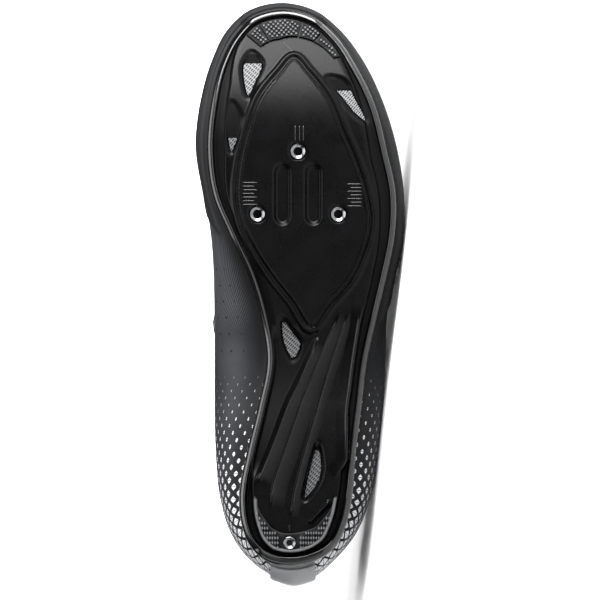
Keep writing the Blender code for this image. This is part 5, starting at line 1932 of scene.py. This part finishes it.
@dataclass
class Strap:
    """A hook-and-loop strap laid over the throat where the CAD's strap lies.

    Attributes:
        node: The CAD's strap.
        number: Which of the three it is, from the toe.
        cloth: Its material.
        thread: Its stitches' material.
        width: Its width.
        wall: Its thickness.
        spacing: The gap between two straps.
        first_along: Share along the shoe of the strap by the ankle.
        axis: Shares across and up of the line that it is wrapped round.
        arc: Its two ends in degrees round that line.
        tip: How long its rounded ends are.
    """

    last: Last
    node: bpy.types.Object
    number: int
    cloth: Material
    thread: Material
    width: float = 0.0180
    wall: float = 0.0018
    spacing: float = 0.0013
    first_along: float = 0.4520
    axis: Plan = (0.040, 0.450)
    arc: Plan = (-61.3, 45.3)
    tip: float = 0.007

    def touch(self, tree: BVHTree, turn: float, offset: float) -> np.ndarray:
        """Where the strap's outer face lies.

        Args:
            tree: The CAD strap's faces.
            turn: Angle round the axis.
            offset: Distance from the strap's midline.

        Returns:
            The point, in the shoe's frame.
        """
        middle = self.first_along * LENGTH + (3 - self.number) * (self.width + self.spacing)
        way = np.array([0.0, math.sin(turn), math.cos(turn)])
        start = np.array([middle + offset, self.axis[0] * BALL_WIDTH, self.axis[1] * HEEL_HEIGHT])
        far = Vector(self.last.world(start + way * 0.14))
        hit = tree.ray_cast(far, Vector(-(self.last.turn @ way)))[0]
        return self.last.own(np.array(hit or tree.find_nearest(far)[0]))

    def surface(self) -> tuple[np.ndarray, np.ndarray, np.ndarray]:
        """Points, outward ways and real lengths over the strap's outer face."""
        bm = copy_of(self.node)
        bmesh.ops.triangulate(bm, faces=bm.faces[:])
        tree = BVHTree.FromBMesh(bm)
        bm.free()
        points = np.array([[self.touch(tree, turn, offset * self.width)
                            for offset in np.linspace(-0.485, 0.485, 13)]
                           for turn in np.radians(np.linspace(*self.arc, 91))])
        for _ in range(4):
            points[1:-1] = (points[:-2] + 2 * points[1:-1] + points[2:]) / 4
        normals = unit(np.cross(np.gradient(points, axis=1), np.gradient(points, axis=0)))
        if np.mean(normals[:, :, 2]) < 0:
            normals = -normals
        return points, normals, reach_along(points[:, 6])

    def section(self, points: np.ndarray, normal: np.ndarray, place: float,
                total: float) -> tuple[list, list]:
        """One cross section, out along the outer face and back along the inner one.

        Args:
            points: The outer face's points there.
            normal: The outward way of its middle.
            place: Length run along the strap.
            total: The strap's length.

        Returns:
            The section's points and their wrap values.
        """
        tip = min(place, total - place)
        narrow = math.sqrt(max(0.0, 1 - (1 - min(tip / self.tip, 1.0)) ** 2.4)) * 0.97 + 0.03
        middle = points[len(points) // 2]
        shares = np.linspace(-1, 1, len(points))
        outer = range(len(points))
        row, wrap = [], []
        for inner, order in ((False, outer), (True, reversed(outer))):
            for j in order:
                round_off = abs(shares[j]) ** 8 * 0.45
                depth = self.wall * (1 - round_off if inner else round_off)
                spot = middle + (points[j] - middle) * narrow
                row.append(spot - normal * depth * min(1.0, tip / 0.0015 + 0.4))
                margin = 1.0 if abs(shares[j]) > 0.72 or tip < 0.004 else 0.0
                wrap.append((place, shares[j] * self.width / 2, margin))
        return [*row, row[0]], [*wrap, wrap[0]]

    def build(self) -> None:
        """Makes the strap with rounded ends and edges, and its stitches."""
        points, normals, reach = self.surface()
        sections = [self.section(points[i], normals[i, 6], place, reach[-1])
                    for i, place in enumerate(reach)]
        rows, wraps = (np.array(part) for part in zip(*sections))
        bm = capped(grid_mesh("strap", self.last.world(rows), wrap=wraps))
        Piece(f"strap_band_{self.number}", Slot.WEBBING, (self.cloth,),
              (f"strap_{self.number}",), 60.0).build(bm)
        made = []
        for j in (1, points.shape[1] - 2):
            path = self.last.world(points[4:-4, j] + normals[4:-4, j] * 0.00005)
            made += Stitching(0.0020, 0.0005, 0.0028).along(
                path, normals[4:-4, j] @ self.last.turn.T)
        Piece(f"strap_stitches_{self.number}", Slot.WEBBING, (self.thread,)).build(joined(made))


@dataclass
class HeelPanel:
    """The smooth panel up the back of the heel, with a stitched seam down each side."""

    upper: Upper
    node: bpy.types.Object
    film: Material
    thread: Material
    seam_gap: float = 0.0011
    first_level: float = 2.5
    reach: int = 70

    def seam(self, across: float) -> tuple[np.ndarray, np.ndarray]:
        """A line up the heel at one place across.

        Args:
            across: The place, in the shoe's frame.

        Returns:
            Its points in the scene, and the normals there.
        """
        upper = self.upper
        near = [i % upper.count for i in range(-self.reach, self.reach + 1)]
        path, normals = [], []
        for k in range(int(self.first_level * upper.level_steps), len(upper.outside)):
            order = np.array(near)[np.argsort(upper.outside[k, near, 1])]
            spots = upper.outside[k, order]
            path.append(mixed(spots, across, spots[:, 1]))
            normals.append(mixed(upper.normals[k, order], across, spots[:, 1]))
        normals = np.array(normals)
        path = upper.last.world(np.array(path) + normals * 0.0001)
        return path, normals @ upper.last.turn.T

    def build(self) -> None:
        """Makes the panel and both seams."""
        Piece("heel_panel", Slot.TAB, (self.film,), ("heel_tab",), 60.0).build(
            softened(self.node, 2))
        made = []
        for side, gap in zip(TAB_SIDES, (-self.seam_gap, self.seam_gap)):
            made += Stitching(0.0018, 0.0006, 0.0026).along(*self.seam(side * TAB_WIDTH + gap))
        Piece("heel_stitches", Slot.TAB, (self.thread,)).build(joined(made))


# Stage, light and camera


@dataclass(frozen=True)
class Lamp:
    """A soft box, placed in the picture's own directions: right, up and towards the camera."""

    name: str
    place: tuple[float, float, float]
    size: tuple[float, float]
    power: float
    spread: float = 180.0
    aim: tuple[float, float, float] = (0.0, 0.0, 0.0)


@dataclass
class Studio:
    """The floor, the lights and the camera.

    Attributes:
        frame_height: What the picture takes in at the sole.
        distance: From the camera to the sole.
        target: The picture's middle, in the shoe's frame.
        lamps: Soft boxes on the shoe, and washes on the floor before and behind it.
        sweep_start: Where the floor begins to rise, behind the circle of the camera.
        sweep_radius: Radius of that rise.
        wall_top: Height of the low backdrop.
    """

    last: Last
    frame_height: float = 0.2910
    distance: float = 3.0
    target: tuple[float, float, float] = (0.1392, 0.0010, 0.004)
    lamps: tuple[Lamp, ...] = (
        Lamp("key_toe", (-0.30, 1.02, 0.93), (0.90, 0.44), 34.0),
        Lamp("top_dome", (-0.05, 1.30, 0.60), (1.10, 0.60), 52.0),
        Lamp("heel_soft", (-0.20, -1.05, 0.90), (0.90, 0.40), 4.0),
        Lamp("overhead", (-1.15, 0.10, 0.25), (0.90, 1.20), 17.0),
        Lamp("fill_front", (-0.50, -0.40, 2.20), (1.00, 1.00), 0.3),
        Lamp("near_wash", (-1.20, 0.0, -1.30), (1.40, 1.60), 60.0, 100.0, (0.05, 0.0, -2.1)),
        Lamp("backdrop_wash", (-1.20, 0.0, -2.90), (1.40, 1.60), 60.0, 100.0, (-0.10, 0.0, -4.0)),
        Lamp("floor_wash", (-1.20, 0.0, 1.50), (1.40, 1.60), 26.0, 90.0, (0.05, 0.0, 1.5)),
    )
    sweep_start: float = 3.4
    sweep_radius: float = 0.7
    wall_top: float = 0.95

    def __post_init__(self) -> None:
        """Takes the picture's directions from the shoe's frame."""
        self.right, self.up, self.back = self.last.y, self.last.x, -self.last.z
        self.middle = Vector(self.last.world(np.array(self.target)))

    def spot(self, place: Sequence[float]) -> Vector:
        """A place given by the picture's directions."""
        return self.middle + self.right * place[0] + self.up * place[1] + self.back * place[2]

    def build_floor(self) -> None:
        """A wide pale floor that sweeps up into a low backdrop."""
        profile = [(-6.0, 0.0), (-2.0, 0.0), (1.0, 0.0)]
        profile += [(self.sweep_start + self.sweep_radius * math.sin(turn),
                     self.sweep_radius * (1 - math.cos(turn)))
                    for turn in np.radians(np.linspace(0, 90, 13))]
        profile.append((self.sweep_start + self.sweep_radius, self.wall_top))
        rows = np.array([[(x, y, z) for x in np.linspace(-5.0, 5.0, 9)] for y, z in profile])
        mesh = bpy.data.meshes.new("floor")
        bm = grid_mesh("floor", rows)
        bm.to_mesh(mesh)
        bm.free()
        mesh.shade_smooth()
        graph = Graph("floor_pale", Finish((0.88, 0.88, 0.88), 0.70, specular=0.1))
        tone = graph.blend(graph.noise(0.8, 1.0), (0.87, 0.87, 0.87), (0.89, 0.89, 0.89))
        graph.feed(graph.shader.inputs["Base Color"], tone)
        mesh.materials.append(graph.material)
        floor = bpy.data.objects.new("floor", mesh)
        bpy.context.scene.collection.objects.link(floor)

    def build_world(self) -> None:
        """Dim even surroundings, so that black gloss stays black."""
        world = bpy.data.worlds.new("studio")
        world.use_nodes = True
        background = world.node_tree.nodes["Background"]
        background.inputs["Color"].default_value = (0.95, 0.97, 1.0, 1.0)
        background.inputs["Strength"].default_value = 0.04
        bpy.context.scene.world = world

    def hang(self, lamp: Lamp) -> None:
        """Hangs a soft box and turns it to its aim."""
        data = bpy.data.lights.new(lamp.name, "AREA")
        data.shape = "RECTANGLE"
        data.size, data.size_y = lamp.size
        data.energy = lamp.power
        data.spread = math.radians(lamp.spread)
        light = bpy.data.objects.new(lamp.name, data)
        place = self.spot(lamp.place)
        back = (place - self.spot(lamp.aim)).normalized()
        up = (self.up - back * self.up.dot(back)).normalized()
        turn = Matrix((up.cross(back), up, back)).transposed().to_4x4()
        light.matrix_world = Matrix.Translation(place) @ turn
        bpy.context.scene.collection.objects.link(light)

    def build_camera(self) -> None:
        """A long lens straight in front of the sole, rolled so that the toe is up."""
        data = bpy.data.cameras.new("camera")
        data.sensor_width = 36.0
        data.lens = 36.0 * self.distance / self.frame_height
        data.clip_end = 50.0
        camera = bpy.data.objects.new("camera", data)
        turn = Matrix((self.right, self.up, self.back)).transposed().to_4x4()
        camera.matrix_world = Matrix.Translation(self.spot((0, 0, self.distance))) @ turn
        bpy.context.scene.collection.objects.link(camera)
        bpy.context.scene.camera = camera
        bpy.context.scene.view_settings.view_transform = "Standard"

    def build(self) -> None:
        """Sets the stage."""
        self.build_floor()
        self.build_world()
        for lamp in self.lamps:
            self.hang(lamp)
        self.build_camera()


def main() -> None:
    """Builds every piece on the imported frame."""
    logging.basicConfig(level=logging.INFO)
    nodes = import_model()["nodes"]
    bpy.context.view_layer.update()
    cloths = Wardrobe()
    fine = Last(Outline(24))
    upper = Upper(Last(Outline(12)), cloths.shell, cloths.knit, cloths.thread)
    straps = [Strap(fine, nodes[f"strap_{number}"], number, cloths.webbing, cloths.thread)
              for number in (1, 2, 3)]
    for assembly in (
        Outsole(fine, cloths.composite),
        SoleMarks(fine, cloths.composite),
        ToePad(fine, cloths.rubber),
        HeelPad(fine, cloths.rubber),
        Metalwork(fine, cloths.metal),
        VentScreens(nodes, cloths.screen),
        upper,
        FootBed(nodes["insole"], cloths.foot_bed),
        Tongue(fine, nodes["tongue"], cloths.knit),
        *straps,
        HeelPanel(upper, nodes["heel_tab"], cloths.tab, cloths.tab_thread),
        Studio(fine),
    ):
        assembly.build()


if __name__ == "__main__":
    main()
